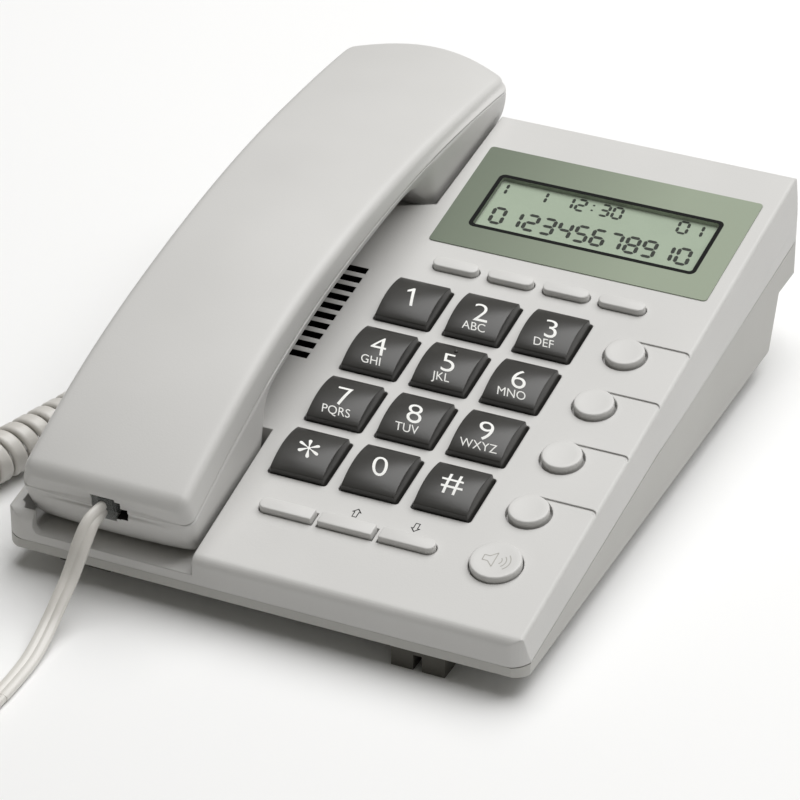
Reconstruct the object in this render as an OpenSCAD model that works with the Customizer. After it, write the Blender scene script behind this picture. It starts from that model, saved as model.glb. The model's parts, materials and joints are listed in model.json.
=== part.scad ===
// Corded desk telephone with caller display: wedge base, handset on its cradle, curly cord.
// The sloping panel has its own frame: u to the right, v up the slope, n out of the panel.

/* [Base] */
// Width of the base
base_w = 160; // [156:1:170]
// Distance from the middle to the front wall
front_reach = 112.5; // [112:0.5:114]
// Length of the sloping panel behind its own origin
panel_rear = 176; // [174:1:178]
// Slope of the panel in degrees
tilt = 10; // [9.5:0.1:10.5]
// Height of the rubber feet
foot_h = 7; // [6:0.5:8]
// Wall thickness of the two covers
wall = 2.5; // [2.2:0.1:2.8]
// Lean of the seam between the covers in degrees
seam_tilt = 8.8; // [8.4:0.1:9]
// Lean of the seam's rear half in degrees
seam_rear_tilt = 6.2; // [6:0.1:6.6]
// Height of the bottom cover at the front wall
seam_front = 3; // [2.5:0.5:4]

/* [Keys] */
// Column pitch of the dial keys
key_pitch_u = 22; // [21:0.5:23]
// Row pitch of the dial keys
key_pitch_v = 23.6; // [22:0.2:24]
// Width of a dial key
key_w = 17.6; // [16:0.2:18.4]
// Depth of a dial key
key_d = 18.3; // [16:0.1:19]
// Height of a dial key over the panel
key_h = 4; // [3:0.1:4.4]
// Height of the small buttons over the panel
button_h = 2; // [1.2:0.1:2.4]
// Gap round every button
button_gap = 0.4; // [0.3:0.05:0.5]
// Diameter of the four function buttons
round_d = 11.6; // [11:0.2:12]
// Diameter of the speakerphone button
speaker_d = 14.6; // [13:0.2:15]

/* [Display] */
// Width of the display lens
lens_w = 88.6; // [84:0.2:90]
// Height of the display lens
lens_d = 48.1; // [44:0.1:50]
// Width of the visible liquid crystal panel
lcd_w = 70; // [60:1:74]
// Height of the visible liquid crystal panel
lcd_d = 24; // [20:0.5:26]

/* [Handset] */
// Width of the handset at the mouthpiece
mouth_w = 54; // [53:0.5:54.5]
// Width of the handset at the earpiece
ear_w = 58; // [57:0.5:58]
// Width of the handset's waist
waist_w = 50.8; // [50:0.2:52]
// Crest of the handset's back over the panel
crest_h = 28; // [27:0.5:29]
// Wall thickness of the handset's shells
shell = 2.2; // [2:0.1:2.6]

/* [Cord] */
// Width of the flat cord
cord_w = 4.5; // [4:0.1:4.6]
// Thickness of the flat cord
cord_t = 2.4; // [2:0.1:2.6]
// Radius of the curls to the middle of the cord
curl_r = 6.2; // [6:0.1:6.6]
// Distance from one curl to the next
curl_pitch = 5.9; // [5.8:0.1:6.4]
// Number of whole curls
curls = 30; // [28:1:32]

/* [Hidden] */
$fn = 48;
eps = 0.01;
far = 400;

// Colours
shell_colour = [0.88, 0.88, 0.87];
skirt_colour = [0.62, 0.61, 0.58];
key_colour = [0.27, 0.27, 0.26];
lens_colour = [0.60, 0.64, 0.57];
lcd_colour = [0.68, 0.73, 0.66];
rubber_colour = [0.33, 0.32, 0.29];
board_colour = [0.20, 0.42, 0.26];
metal_colour = [0.72, 0.72, 0.74];
cord_colour = [0.85, 0.83, 0.80];
clear_colour = [0.80, 0.82, 0.82];

// Panel frame
panel_y0 = -74;
panel_z0 = 25.8;
side_r = 3;
plan_r = 7;
side_draft = 2.2;
side_draft_h = 12;
skirt_draft = 0.8;
skirt_inset = 0.3;
rear_y = panel_y0 + panel_rear * cos(tilt);
rear_z = panel_z0 + panel_rear * sin(tilt);
function panel_z(y) = panel_z0 + (y - panel_y0) * tan(tilt);
seam_bend_y = -20;
seam_gap = 0.35;
function seam_z(y) = foot_h + seam_front + (min(y, seam_bend_y) + front_reach) * tan(seam_tilt)
    + max(0, y - seam_bend_y) * tan(seam_rear_tilt);

// Underside of the base: flat desk stand, then a step up to the rear overhang
stand_rear_y = 76;
step_y = 81;
overhang_z = 25;

// Cradle pockets
mouth_left = -75.6;
mouth_right = -20.2;
mouth_right_rear = -22.2;
ear_left = -77.3;
ear_right = -20.1;
ear_right_rear = -18.4;
mouth_floor_z = 13.3;
mouth_rear_v = 16.5;
ear_front_v = 120;
ear_corner_v = 126.5;
ear_corner_u = -36;
ear_floor_n = -6;
lip_left = -70;
post_x = -73.8;
post_y = -107.4;
tub_wall = 2.3;

// Buttons
first_key_u = -6.8;
first_key_v = 9.15;
flange = 0.8;
flange_t = 1.2;
stem = 2.5;
key_names = [["key_star", "key_0", "key_hash"], ["key_7", "key_8", "key_9"],
             ["key_4", "key_5", "key_6"], ["key_1", "key_2", "key_3"]];
pill_w = 14.4;
pill_d = 4.4;
pill_v = 99.8;
pill_u = [-1.8, 15.8, 33.4, 51];
round_u = 60;
round_gap = 0.8;
round_v = [79.6, 56.2, 32.6, 8.9];
speaker_u = 59.6;
speaker_v = -13.1;
bar_w = 16.4;
bar_d = 4.5;
bar_v = -13.5;
bar_u = [-3.2, 15.2, 33.6];
vent_count = 10;
vent_first_v = 49.3;
vent_pitch = 4.54;
vent_right_u = -26.5;
vent_len = 20;
vent_d = 2.6;
groove_w = 0.8;
groove_depth = 0.4;

// Display
lens_u = -15.5 + lens_w / 2;
lens_v = 110.1 + lens_d / 2;
lens_t = 1.4;
lens_proud = 0.3;
lcd_u = 29;
lcd_v = 133.3;

// Inner pieces under the panel
board_n = -10.6;
board_t = 1.6;
mat_n = board_n + board_t;
mat_t = 1.2;
speaker_n = -2.5;
speaker_x = -40;
speaker_cv = 70;
hook_u = -48;
hook_v = 145;
hook_w = 9;
hook_d = 16;
hook_top_n = -6.05;
hook_foot_n = -18.4;
hook_switch_n = -23.5;
hook_switch_h = 7;
board_u = 28.5;
board_v = 43;
board_post_u = 41;
board_post_v = 66;
// Screw bosses, as [x, y], and the height where the two covers' bosses meet
boss_spots = [[-66, -46], [72, -104], [-66, 40], [73, 62]];
boss_z = 14;
foot_spots = [[47.2, -104.3], [-59, -97], [-56, 62], [56, 62]];
line_jack_x = 34;
line_jack_z = 26.6;

// Handset, in the panel frame
hs_u = -48;
hs_front = -35;
hs_rear = 182;
front_bow = 1.5;
rear_bow = 8;
crest_v = 50;
waist_v = 50;
seam_crest = 19.2;
seam_crest_v = 70;
jack_u = -48;
jack_n = 7.3;
handset_screw_v = [30, 114];

// Cord route, in the part frame
coil_z = curl_r + cord_t / 2;
coil_start = [-49, -175];
coil_lead_in = 17.5;
coil_bend_r = 50;
coil_bend = 107;
cord_tip = 5;
base_jack_y = 8;
base_jack_z = 14;

// 2D and 3D helpers
function unit(v) = v / norm(v);
function lerp(a, b, t) = a + (b - a) * t;
function clamp01(t) = min(1, max(0, t));
function turn_left(d) = [-d[1], d[0], 0];

// Corner points of a convex or concave outline, each corner rounded with its own radius
function rounded(pts, radii, steps = 6) = [
    for (i = [0:len(pts) - 1])
    let (p = pts[i],
         a = unit(pts[(i + len(pts) - 1) % len(pts)] - p),
         b = unit(pts[(i + 1) % len(pts)] - p),
         half = acos(a * b) / 2,
         centre = p + unit(a + b) * radii[i] / sin(half),
         from = p + a * radii[i] / tan(half) - centre,
         side = sign(a[0] * b[1] - a[1] * b[0]),
         sweep = side * (2 * half - 180))
    for (k = [0:steps])
    let (t = radii[i] > 0 ? k / steps : 0, w = sweep * t)
    if (radii[i] > 0 || k == 0)
    centre + [from[0] * cos(w) - from[1] * sin(w), from[0] * sin(w) + from[1] * cos(w)]
];

module on_panel() {
    translate([0, panel_y0, panel_z0]) rotate([tilt, 0, 0]) children();
}

// Extrudes a (y, z) outline along x, from x0 to x1
module along_x(x0, x1) {
    translate([x0, 0, 0]) rotate([90, 0, 90]) linear_extrude(height = x1 - x0) children();
}

module round_box(w, d, h, r) {
    linear_extrude(height = h)
        polygon(rounded([[-w / 2, -d / 2], [w / 2, -d / 2], [w / 2, d / 2], [-w / 2, d / 2]],
                        [r, r, r, r], 5));
}

module slot_2d(w, d) {
    square([w - d, d], center = true);
    for (s = [-1, 1]) translate([s * (w - d) / 2, 0]) circle(d = d);
}

// Closed tube through a list of rings, each ring a list of points, as triangles
module skin(rings) {
    n = len(rings[0]);
    m = len(rings);
    sides = [for (i = [0:m - 2], j = [0:n - 1])
        let (a = i * n + j, b = i * n + (j + 1) % n, c = b + n, d = a + n)
        each [[a, c, b], [a, d, c]]];
    first_cap = [for (j = [1:n - 2]) [0, j, j + 1]];
    last_cap = [for (j = [1:n - 2]) [(m - 1) * n, (m - 1) * n + j + 1, (m - 1) * n + j]];
    polyhedron(points = [for (r = rings) each r], faces = concat(sides, first_cap, last_cap),
               convexity = 10);
}

// Base covers
// Side outline of the whole base, moved inwards by the given wall
function base_outline(t) = rounded([
    [-front_reach + t, foot_h + t],
    [stand_rear_y - t, foot_h + t],
    [step_y - t, overhang_z + t],
    [rear_y - t, overhang_z + t],
    [rear_y - t, rear_z - t / cos(tilt) - t * tan(tilt)],
    [-front_reach + t, panel_z(-front_reach + t) - t / cos(tilt)]],
    t > 0 ? [0.5, 0.5, 0.5, 0.5, 0.5, 0.5] : [0.8, 1, 0, 1.5, side_r, side_r]);

module base_block(t) {
    half = base_w / 2 - t;
    r = plan_r - t;
    intersection() {
        along_x(-half, half) polygon(base_outline(t));
        linear_extrude(height = far)
            polygon(rounded([[-half, -front_reach + t], [half, -front_reach + t],
                             [half, rear_y - t], [-half, rear_y - t]], [r, r, r, r], 10));
        on_panel() translate([0, far / 2, 0]) rotate([90, 0, 0]) linear_extrude(height = far)
            polygon(rounded([[half, -90], [half, -side_draft_h], [half - side_draft, -t],
                             [0.8 - half, -t], [-half, -90]],
                            t > 0 ? [0, 0, 0.5, 0.5, 0] : [0, 3, 1.2, 2.4, 0]));
    }
}

// Everything above the seam, and everything below it with the seam raised by the given rise
module above_seam() {
    along_x(-far / 2, far / 2)
        polygon([for (y = [-far, seam_bend_y, far]) [y, seam_z(y)], [far, far], [-far, far]]);
}

module below_seam(rise) {
    along_x(-far / 2, far / 2)
        polygon([for (y = [far, seam_bend_y, -far]) [y, seam_z(y) + rise], [-far, -far], [far, -far]]);
}

// The bottom cover's own form: set back at the front, its sides leaning in downwards
module skirt_form() {
    half = base_w / 2;
    lean_top = 36;
    translate([0, far / 2, 0]) rotate([90, 0, 0])
        linear_extrude(height = far / 2 + front_reach - skirt_inset)
            polygon([[skirt_draft - half, foot_h], [half - skirt_draft, foot_h], [half, lean_top],
                     [half, far], [-half, far], [-half, lean_top]]);
}

// Pocket for the mouth cup: level floor, open over a lip at the front
module mouth_pocket(t) {
    floor_z = mouth_floor_z - t;
    front_y1 = -front_reach + wall - t;
    rear_y1 = panel_y0 + (mouth_rear_v + t) * cos(tilt);
    intersection() {
        along_x(mouth_left - t, mouth_right + t)
            polygon(rounded([[front_y1, floor_z], [rear_y1 + 1, floor_z],
                             [rear_y1 - 1, panel_z(rear_y1) + 20], [front_y1, 60]],
                            [0, 3 + t, 0, 0]));
        linear_extrude(height = far)
            polygon([[mouth_left - t, front_y1], [mouth_right + t, front_y1],
                     [mouth_right_rear + t, rear_y1 + 1], [mouth_left - t, rear_y1 + 1]]);
    }
}

// Thick corner of the cradle, left of the lip
module lip_post() {
    linear_extrude(height = far)
        polygon(rounded([[mouth_left - 1, -front_reach], [post_x, -front_reach],
                         [post_x, post_y], [mouth_left - 1, post_y]], [0, 0, 2.5, 0]));
}

// Pocket for the ear cup: floor parallel to the panel, open at the rear
module ear_pocket(t) {
    on_panel() translate([0, 0, ear_floor_n - t]) linear_extrude(height = 40)
        polygon([[ear_left - t, ear_front_v - t], [ear_corner_u + t / 2, ear_front_v - t],
                 [ear_right + t, ear_corner_v - t], [ear_right_rear + t, hs_rear],
                 [ear_right_rear + t, far], [ear_left - t, far]]);
}

module front_lip_opening() {
    translate([0, -front_reach + wall + eps, 0]) rotate([90, 0, 0]) linear_extrude(height = 20)
        polygon(rounded([[lip_left, mouth_floor_z], [mouth_right, mouth_floor_z],
                         [mouth_right, 60], [lip_left, 60]], [2, 0, 0, 0]));
}

module key_openings() {
    g = 2 * button_gap;
    for (row = [0:3], col = [0:2])
        translate([first_key_u + col * key_pitch_u, first_key_v + row * key_pitch_v, -5])
            round_box(key_w + g, key_d + g, 10, 1);
    for (u = pill_u) translate([u, pill_v, -5]) linear_extrude(height = 10)
        slot_2d(pill_w + g, pill_d + g);
    for (v = round_v) translate([round_u, v, -5]) cylinder(d = round_d + 2 * round_gap, h = 10);
    translate([speaker_u, speaker_v, -5]) cylinder(d = speaker_d + g, h = 10);
    for (i = [0:2]) translate([bar_u[i], bar_v, -5]) linear_extrude(height = 10)
        bar_2d(bar_w + g, bar_d + g, i);
}

// Engraved line from the top of a round button's hole to the panel's edge
module button_groove(v) {
    run = 15.6;
    fall = 2;
    rise = round_d / 2 + round_gap - 0.1;
    translate([round_u, v, -groove_depth]) linear_extrude(height = 2) {
        translate([0, rise]) square([run, groove_w]);
        translate([run, rise + groove_w - fall]) difference() {
            intersection() {
                circle(r = fall);
                square(fall);
            }
            circle(r = fall - groove_w);
        }
    }
}

module vents() {
    for (i = [0:vent_count - 1])
        translate([vent_right_u - vent_len, vent_first_v + i * vent_pitch - vent_d / 2, -5])
            cube([vent_len, vent_d, 10]);
}

// Stand-offs that carry the main board, and legs that carry the hook switch
module top_cover_posts() {
    on_panel() {
        for (s = [-1, 1], t = [-1, 1])
            translate([board_u + s * board_post_u, board_v + t * board_post_v, mat_n])
                cylinder(d = 5, h = -mat_n - 1);
        for (s = [-1, 1])
            translate([hook_u - 8, hook_v + s * 11 - 1, hook_switch_n + hook_switch_h])
                cube([16, 2, -hook_switch_n - hook_switch_h + ear_floor_n - 1]);
    }
    for (p = boss_spots) translate([p[0], p[1], boss_z])
        cylinder(d = 7, h = panel_z(p[1]) - 1.2 - boss_z);
}

module base_top_cover() {
    color(shell_colour) difference() {
        union() {
            difference() {
                intersection() {
                    base_block(0);
                    above_seam();
                }
                base_block(wall);
            }
            intersection() {
                base_block(wall - eps);
                union() {
                    mouth_pocket(tub_wall);
                    ear_pocket(tub_wall);
                }
            }
            top_cover_posts();
        }
        difference() {
            mouth_pocket(0);
            lip_post();
        }
        ear_pocket(0);
        front_lip_opening();
        difference() {
            below_seam(seam_gap);
            base_block(0.6);
        }
        on_panel() {
            key_openings();
            vents();
            for (v = round_v) button_groove(v);
            translate([lens_u, lens_v, lens_proud - lens_t]) round_box(lens_w, lens_d, 5, 1.2);
            translate([lcd_u, lcd_v, -5]) round_box(lcd_w, lcd_d, 10, 1.5);
            translate([hook_u, hook_v, -20]) linear_extrude(height = 30)
                square([hook_w + 0.8, hook_d + 0.8], center = true);
        }
        for (p = boss_spots) translate([p[0], p[1], boss_z - 1]) cylinder(d = 3.2, h = 4.6);
    }
}

module base_bottom_cover() {
    color(skirt_colour) difference() {
        union() {
            intersection() {
                difference() {
                    base_block(0);
                    base_block(wall);
                }
                below_seam(0);
                skirt_form();
            }
            for (p = boss_spots) translate([p[0], p[1], foot_h + wall - 0.5])
                cylinder(d = 7.6, h = boss_z - foot_h - wall + 0.5);
        }
        for (p = boss_spots) translate([p[0], p[1], foot_h - 1]) {
            cylinder(d = 3.4, h = 20);
            cylinder(d = 6.4, h = 4);
        }
        line_jack_opening();
        base_jack_opening();
    }
}

// Slotted feet: two blocks with a slit between them
module rubber_feet() {
    color(rubber_colour) for (p = foot_spots) translate([p[0], p[1], 0]) difference() {
        translate([-8, -6.5, 0]) cube([16, 13, foot_h]);
        translate([-1.4, -7, -1]) cube([2.6, 14, foot_h - 1]);
    }
}

module base_screws() {
    color(metal_colour) for (p = boss_spots) translate([p[0], p[1], foot_h + 1.4]) {
        cylinder(d = 5.6, h = 1.6);
        cylinder(d = 3, h = 9);
    }
}

// Display
module display_lens() {
    color(lens_colour) on_panel() translate([lens_u, lens_v, lens_proud - lens_t])
        round_box(lens_w, lens_d, lens_t, 1.2);
}

module lcd_panel() {
    color(lcd_colour) on_panel() translate([lcd_u, lcd_v, -4.7])
        round_box(lcd_w + 4, lcd_d + 5, 2.2, 0.5);
}

module lcd_holder() {
    color(skirt_colour) on_panel() translate([lcd_u, lcd_v, -7.5]) difference() {
        round_box(lcd_w + 9, lcd_d + 10, 5, 1);
        translate([0, 0, 2.8]) round_box(lcd_w + 4, lcd_d + 5, 5, 0.5);
        translate([0, 0, -1]) round_box(lcd_w - 4, lcd_d - 4, 5, 1);
    }
}

// Electronics
module main_board() {
    color(board_colour) on_panel() translate([board_u, board_v, board_n]) difference() {
        round_box(90, 138, board_t, 2);
        for (s = [-1, 1], t = [-1, 1])
            translate([s * board_post_u, t * board_post_v, -1]) cylinder(d = 2.6, h = 4);
    }
}

module keypad_mat() {
    color(clear_colour) on_panel() translate([0, 0, mat_n]) {
        translate([25.9, 42.8, 0]) round_box(86.2, 122.4, mat_t, 2);
        for (row = [0:3], col = [0:2])
            translate([first_key_u + col * key_pitch_u, first_key_v + row * key_pitch_v, mat_t - eps])
                cylinder(r1 = 4.5, r2 = 3, h = 1.1);
        for (u = bar_u) translate([u, bar_v, mat_t - eps]) cylinder(r1 = 2.2, r2 = 1.6, h = 1.1);
        for (u = pill_u) translate([u, pill_v, mat_t - eps]) cylinder(r1 = 2.2, r2 = 1.6, h = 1.1);
        for (v = round_v) translate([round_u, v, mat_t - eps]) cylinder(r1 = 4, r2 = 3, h = 1.1);
        translate([speaker_u, speaker_v, mat_t - eps]) cylinder(r1 = 4, r2 = 3, h = 1.1);
    }
}

module loudspeaker() {
    color(metal_colour) on_panel() translate([speaker_x, speaker_cv, speaker_n]) rotate([180, 0, 0])
        rotate_extrude() polygon([[0, 1.5], [9, 1.5], [17, 0.4], [17, 0], [20, 0], [20, 2],
                                  [12, 7], [12, 12], [0, 12]]);
}

// Notch from the seam down, closed by the top cover
module line_jack_opening() {
    translate([line_jack_x, rear_y - 14, line_jack_z]) cube([13, 20, 20]);
}

module line_jack() {
    color(key_colour) translate([line_jack_x, rear_y - 14, line_jack_z]) difference() {
        cube([13, 13.8, 10.2]);
        translate([1.5, 2.5, 1.6]) cube([10, 15, 7]);
    }
}

module base_jack_opening() {
    translate([-base_w / 2 - 5, base_jack_y - 5, base_jack_z - 4.8]) cube([17, 10, 9.6]);
}

module base_handset_jack() {
    color(key_colour) translate([-base_w / 2 + 0.3, base_jack_y, base_jack_z]) difference() {
        translate([0, -5, -4.8]) cube([11.7, 10, 9.6]);
        translate([-1, -3.9, -3.4]) cube([10.8, 7.8, 6.8]);
        translate([-1, -2.8, 3.3]) cube([10.8, 5.6, 0.8]);
    }
}

module hook_switch() {
    color(key_colour) on_panel() translate([hook_u, hook_v, hook_switch_n]) difference() {
        translate([-8, -12, 0]) cube([16, 24, hook_switch_h]);
        translate([-6.5, -10, hook_switch_h - 3]) cube([13, 20, 4]);
    }
}

// Spring-loaded tongue under the ear cup, drawn pressed down by the handset
module hook_plunger() {
    color(shell_colour) on_panel() translate([hook_u, hook_v, 0]) {
        translate([-hook_w / 2, -hook_d / 2, hook_foot_n]) cube([hook_w, hook_d, hook_top_n - hook_foot_n]);
        translate([-hook_w / 2 - 1.5, -hook_d / 2 - 1.5, hook_foot_n]) cube([hook_w + 3, hook_d + 3, 1.6]);
    }
}

// Buttons
module dial_key(row, col) {
    crown_r = 22;
    bevel = 1.4;
    color(key_colour)
    on_panel() translate([first_key_u + col * key_pitch_u, first_key_v + row * key_pitch_v, 0]) {
        intersection() {
            translate([0, 0, -wall - flange_t]) round_box(key_w, key_d, 12, 1);
            translate([0, key_d / 2, 0]) rotate([90, 0, 0]) linear_extrude(height = key_d)
                polygon([[-key_w / 2, -9], [key_w / 2, -9], [key_w / 2, 0.6],
                         [key_w / 2 - bevel, key_h + 1], [bevel - key_w / 2, key_h + 1],
                         [-key_w / 2, 0.6]]);
            translate([-key_w / 2, 0, key_h - crown_r]) rotate([0, 90, 0])
                cylinder(r = crown_r, h = key_w, $fn = 96);
        }
        translate([0, 0, -wall - flange_t])
            round_box(key_w + 2 * flange, key_d + 2 * flange, flange_t, 1.2);
        translate([0, 0, -wall - stem]) cylinder(d = 7, h = stem);
        if (row == 2 && col == 1) translate([0, -3.2, key_h - 0.6]) cylinder(d = 1.4, h = 0.9);
    }
}

module pill_button(i) {
    color(shell_colour) on_panel() translate([pill_u[i], pill_v, 0]) {
        translate([0, 0, -wall - flange_t]) linear_extrude(height = wall + flange_t + button_h - 0.5)
            slot_2d(pill_w, pill_d);
        translate([0, 0, button_h - 0.5]) linear_extrude(height = 0.5)
            slot_2d(pill_w - 1, pill_d - 1);
        translate([0, 0, -wall - flange_t]) linear_extrude(height = flange_t)
            slot_2d(pill_w + 2 * flange, pill_d + 2 * flange);
        translate([0, 0, -wall - stem]) cylinder(d = 3, h = stem);
    }
}

module round_button(u, v, d, gap) {
    r = d / 2;
    rim = r + gap + 0.6;
    color(shell_colour) on_panel() translate([u, v, 0]) rotate_extrude($fn = 72)
        polygon([[0, -wall - stem], [r - 2, -wall - stem], [r - 2, -wall - flange_t],
                 [rim, -wall - flange_t], [rim, -wall], [r, -wall],
                 [r, button_h - 0.8], [r - 0.25, button_h - 0.25], [r - 0.9, button_h],
                 [r - 1.8, button_h - 0.3], [0, button_h - 0.5]]);
}

// Bar button: its outer end is rounded on the first and the last of the row
module bar_2d(w, d, i) {
    r = d / 2;
    left = i == 0 ? r : 0;
    right = i == 2 ? r : 0;
    translate([left - w / 2, -r]) square([w - left - right, d]);
    if (i == 0) translate([r - w / 2, 0]) circle(r = r);
    if (i == 2) translate([w / 2 - r, 0]) circle(r = r);
}

module bar_button(i) {
    color(shell_colour) on_panel() translate([bar_u[i], bar_v, 0]) {
        translate([0, 0, -wall - flange_t]) linear_extrude(height = wall + flange_t + button_h - 0.5)
            bar_2d(bar_w, bar_d, i);
        translate([0, 0, button_h - 0.5]) linear_extrude(height = 0.5)
            bar_2d(bar_w - 1, bar_d - 1, i);
        translate([0, 0, -wall - flange_t]) linear_extrude(height = flange_t)
            bar_2d(bar_w + 1.2, bar_d + 2 * flange, i);
        translate([0, 0, -wall - stem]) cylinder(d = 3, h = stem);
    }
}

// Handset, lofted along the panel's v
function back_n(v) = crest_h - (v < crest_v ? 0.0015 : 0.0011) * pow(v - crest_v, 2);
function seam_n(v) = seam_crest - (v < seam_crest_v ? 0.0008 : 0.00113) * pow(v - seam_crest_v, 2);

// How far a corner of radius r draws in at distance d from its end
function corner_drop(d, r) = d >= r ? 0 : r - sqrt(r * r - pow(r - d, 2));
function half_width(v) =
    (v < waist_v ? lerp(waist_w, mouth_w, pow((waist_v - v) / (waist_v - hs_front), 1.8))
     : lerp(waist_w, ear_w, pow((v - waist_v) / (hs_rear - waist_v), 1.3))) / 2
    - corner_drop(v - hs_front, 3) - corner_drop(hs_rear - v, 4);
// How far the back shell's sides lean in between the seam and the back
function lean(v) = lookup(v, [[-35, 1.2], [0, 0.6], [60, 0.4], [100, 0.6], [150, 1.2], [182, 2]]);
function bow(v) = -front_bow * clamp01(1 - (v - hs_front) / 25)
    + rear_bow * clamp01(1 - (hs_rear - v) / 45);
function place(x, v, n, w) = [hs_u + x, v + bow(v) * (1 - pow(x / 28, 2)), n];

// Underside of the front shell: mouth cup, grip and ear cup
cup_points = [
    [-35, 1], [-34.4, -3.4], [-33.4, -5.8], [-32, -6.5], [-28, -7.1], [5, -12.9], [9.5, -12.7],
    [12.5, -9], [14.5, -2], [17, 4.5], [21, 7.6], [27, 8.4], [60, 10.2], [90, 10.6],
    [112, 10], [121, 8], [125, 4.5], [127.6, -1], [129.4, -4.6], [132, -5.9],
    [172, -5.9], [176, -5.2], [179.4, -2.6], [181.2, 0.4], [182, 3.2]];
function under_n(v) = lookup(v, cup_points);
function tuck(v) = lookup(v, [[-35, 2.2], [10, 2.2], [22, 8], [117, 8], [130, 2.5], [182, 2.5]]);

// Half outline of the back shell, from the seam to the middle of the back
function back_half(v) =
    let (w = half_width(v), s = seam_n(v),
         top = back_n(v) - corner_drop(v - hs_front, 3.5) - corner_drop(hs_rear - v, 3),
         r = min(3.2, (top - s) * 0.6), crown = min(1, (top - s) * 0.2),
         lean_in = lean(v) * min(1, (top - s) / 4))
    concat([[w, s]],
           [for (k = [0:4]) let (a = 22.5 * k)
            [w - lean_in - r * (1 - cos(a)), top - crown - r * (1 - sin(a))]],
           [[(w - r) * 0.5, top - 0.3 * crown], [0, top]]);

function front_half(v, t) =
    let (w = half_width(v) - t, s = t > 0 ? seam_n(v) + 0.5 : seam_n(v),
         h = seam_n(v) - under_n(v) - t, b = tuck(v))
    [[w, s], [w - 0.1 * b, s - 0.35 * h], [w - 0.35 * b, s - 0.7 * h],
     [w - 0.75 * b, s - 0.93 * h], [w - 1.3 * b, s - h], [(w - b) * 0.5, s - h], [0, s - h]];

// Full ring at v from a half outline; side is -1 where the outline rises, 1 where it sinks
function ring_at(half, v, side) = concat(
    [for (p = half) place(side * p[0], v, p[1])],
    [for (i = [len(half) - 2:-1:0]) place(-side * half[i][0], v, half[i][1])]);

outer_v = [-35, -34.8, -34.4, -33.8, -33, -32, -30, -26, -15, -5, 4, 9.5, 12.5, 14.5, 17, 21,
           27, 38, 50, 60, 75, 90, 103, 112, 121, 125, 127.6, 129.4, 132, 140, 155, 168, 172,
           176, 178.2, 179.8, 181, 181.7, 182];
mouth_hollow_v = [-30, -24, -12, 0, 8];
grip_hollow_v = [-29, -20, 0, 20, 45, 70, 95, 120, 145, 165, 174];
ear_hollow_v = [134, 150, 168];

// Inside of the back shell: follows the back, open towards the front shell
module back_hollow() {
    half = waist_w / 2 - 4;
    along_x(hs_u - half, hs_u + half)
        polygon(concat([[hs_front + 6, -9]],
                       [for (v = grip_hollow_v) [v, back_n(v) - shell - 1.2]],
                       [[hs_rear - 8, -9]]));
}

module front_solid(stations, t) {
    skin([for (v = stations) ring_at(front_half(v, t), v, 1)]);
}

// Hole in the handset's front face, with the step for the plug's latch on its right
module jack_opening() {
    translate([jack_u, hs_front + 3, jack_n]) rotate([90, 0, 0]) linear_extrude(height = 10) {
        square([7.4, 8.2], center = true);
        translate([3, -2.9]) square([2.2, 5.8]);
        translate([5, -2.6]) square([2.4, 3.6]);
    }
}

module jack_space() {
    translate([jack_u - 4.8, hs_front + 2.4, jack_n - 5.1]) cube([10.2, 12.1, 10.2]);
}

// Bosses that take the two handset screws
module handset_bosses() {
    for (v = handset_screw_v) translate([hs_u, v, seam_n(v)])
        cylinder(d = 7, h = back_n(v) - 1.4 - seam_n(v));
}

module handset_back_shell() {
    color(shell_colour) on_panel() difference() {
        union() {
            difference() {
                skin([for (v = outer_v) ring_at(back_half(v), v, -1)]);
                back_hollow();
            }
            handset_bosses();
        }
        jack_opening();
        jack_space();
        for (v = handset_screw_v) translate([hs_u, v, 0]) cylinder(d = 3, h = 21.5, $fn = 24);
    }
}

module handset_front_shell() {
    color(shell_colour) on_panel() difference() {
        front_solid(outer_v, 0);
        front_solid(mouth_hollow_v, shell);
        front_solid(ear_hollow_v, shell);
        translate([hs_u - 18, 36, 11.2]) cube([36, 72, 20]);
        jack_opening();
        jack_space();
        for (a = [0:60:300], d = [3, 7]) translate([hs_u + d * cos(a), 150 + d * sin(a), -8])
            cylinder(d = 1.6, h = 6, $fn = 24);
        for (d = [-4, 0, 4]) translate([hs_u + d, -12, -16]) cylinder(d = 1.6, h = 10, $fn = 24);
        for (v = handset_screw_v) translate([hs_u, v, 0]) {
            cylinder(d = 3.2, h = 30, $fn = 24);
            cylinder(d = 5.6, h = 11, $fn = 24);
        }
    }
}

module earpiece() {
    color(key_colour) on_panel() translate([hs_u, 150, -2.9]) rotate_extrude()
        polygon([[0, 0], [15, 0], [16, 1], [16, 4], [11, 8], [0, 8]]);
}

module microphone() {
    color(metal_colour) on_panel() translate([hs_u, -12, -6.2]) cylinder(d = 9.7, h = 5);
}

module handset_weight() {
    color(metal_colour) on_panel() translate([hs_u - 14, 45, 11.2]) cube([28, 50, 6]);
}

module handset_jack() {
    color(clear_colour) on_panel() translate([jack_u, hs_front + 2.5, jack_n]) difference() {
        translate([-4.7, 0, -5]) cube([10, 12, 10]);
        translate([-3.4, -1, -3.95]) cube([6.8, 12, 7.9]);
        translate([3.3, -1, -2.8]) cube([0.8, 12, 5.6]);
    }
}

module handset_screws() {
    color(metal_colour) on_panel() for (v = handset_screw_v) translate([hs_u, v, 9.6]) {
        cylinder(d = 5, h = 1.4);
        cylinder(d = 2.8, h = 11.5);
    }
}

// Cord
// Modular plug along +y, its latch on top
module plug(length) {
    translate([-3.8, 0, -3.2]) cube([7.6, length, 6.4]);
    translate([-2.6, 0.4, 3]) cube([5.2, length - 1.4, 0.7]);
}

module handset_plug() {
    color(clear_colour) on_panel() translate([jack_u, hs_front - 1.2, jack_n])
        rotate([0, 90, 0]) plug(13.2);
}

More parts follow.
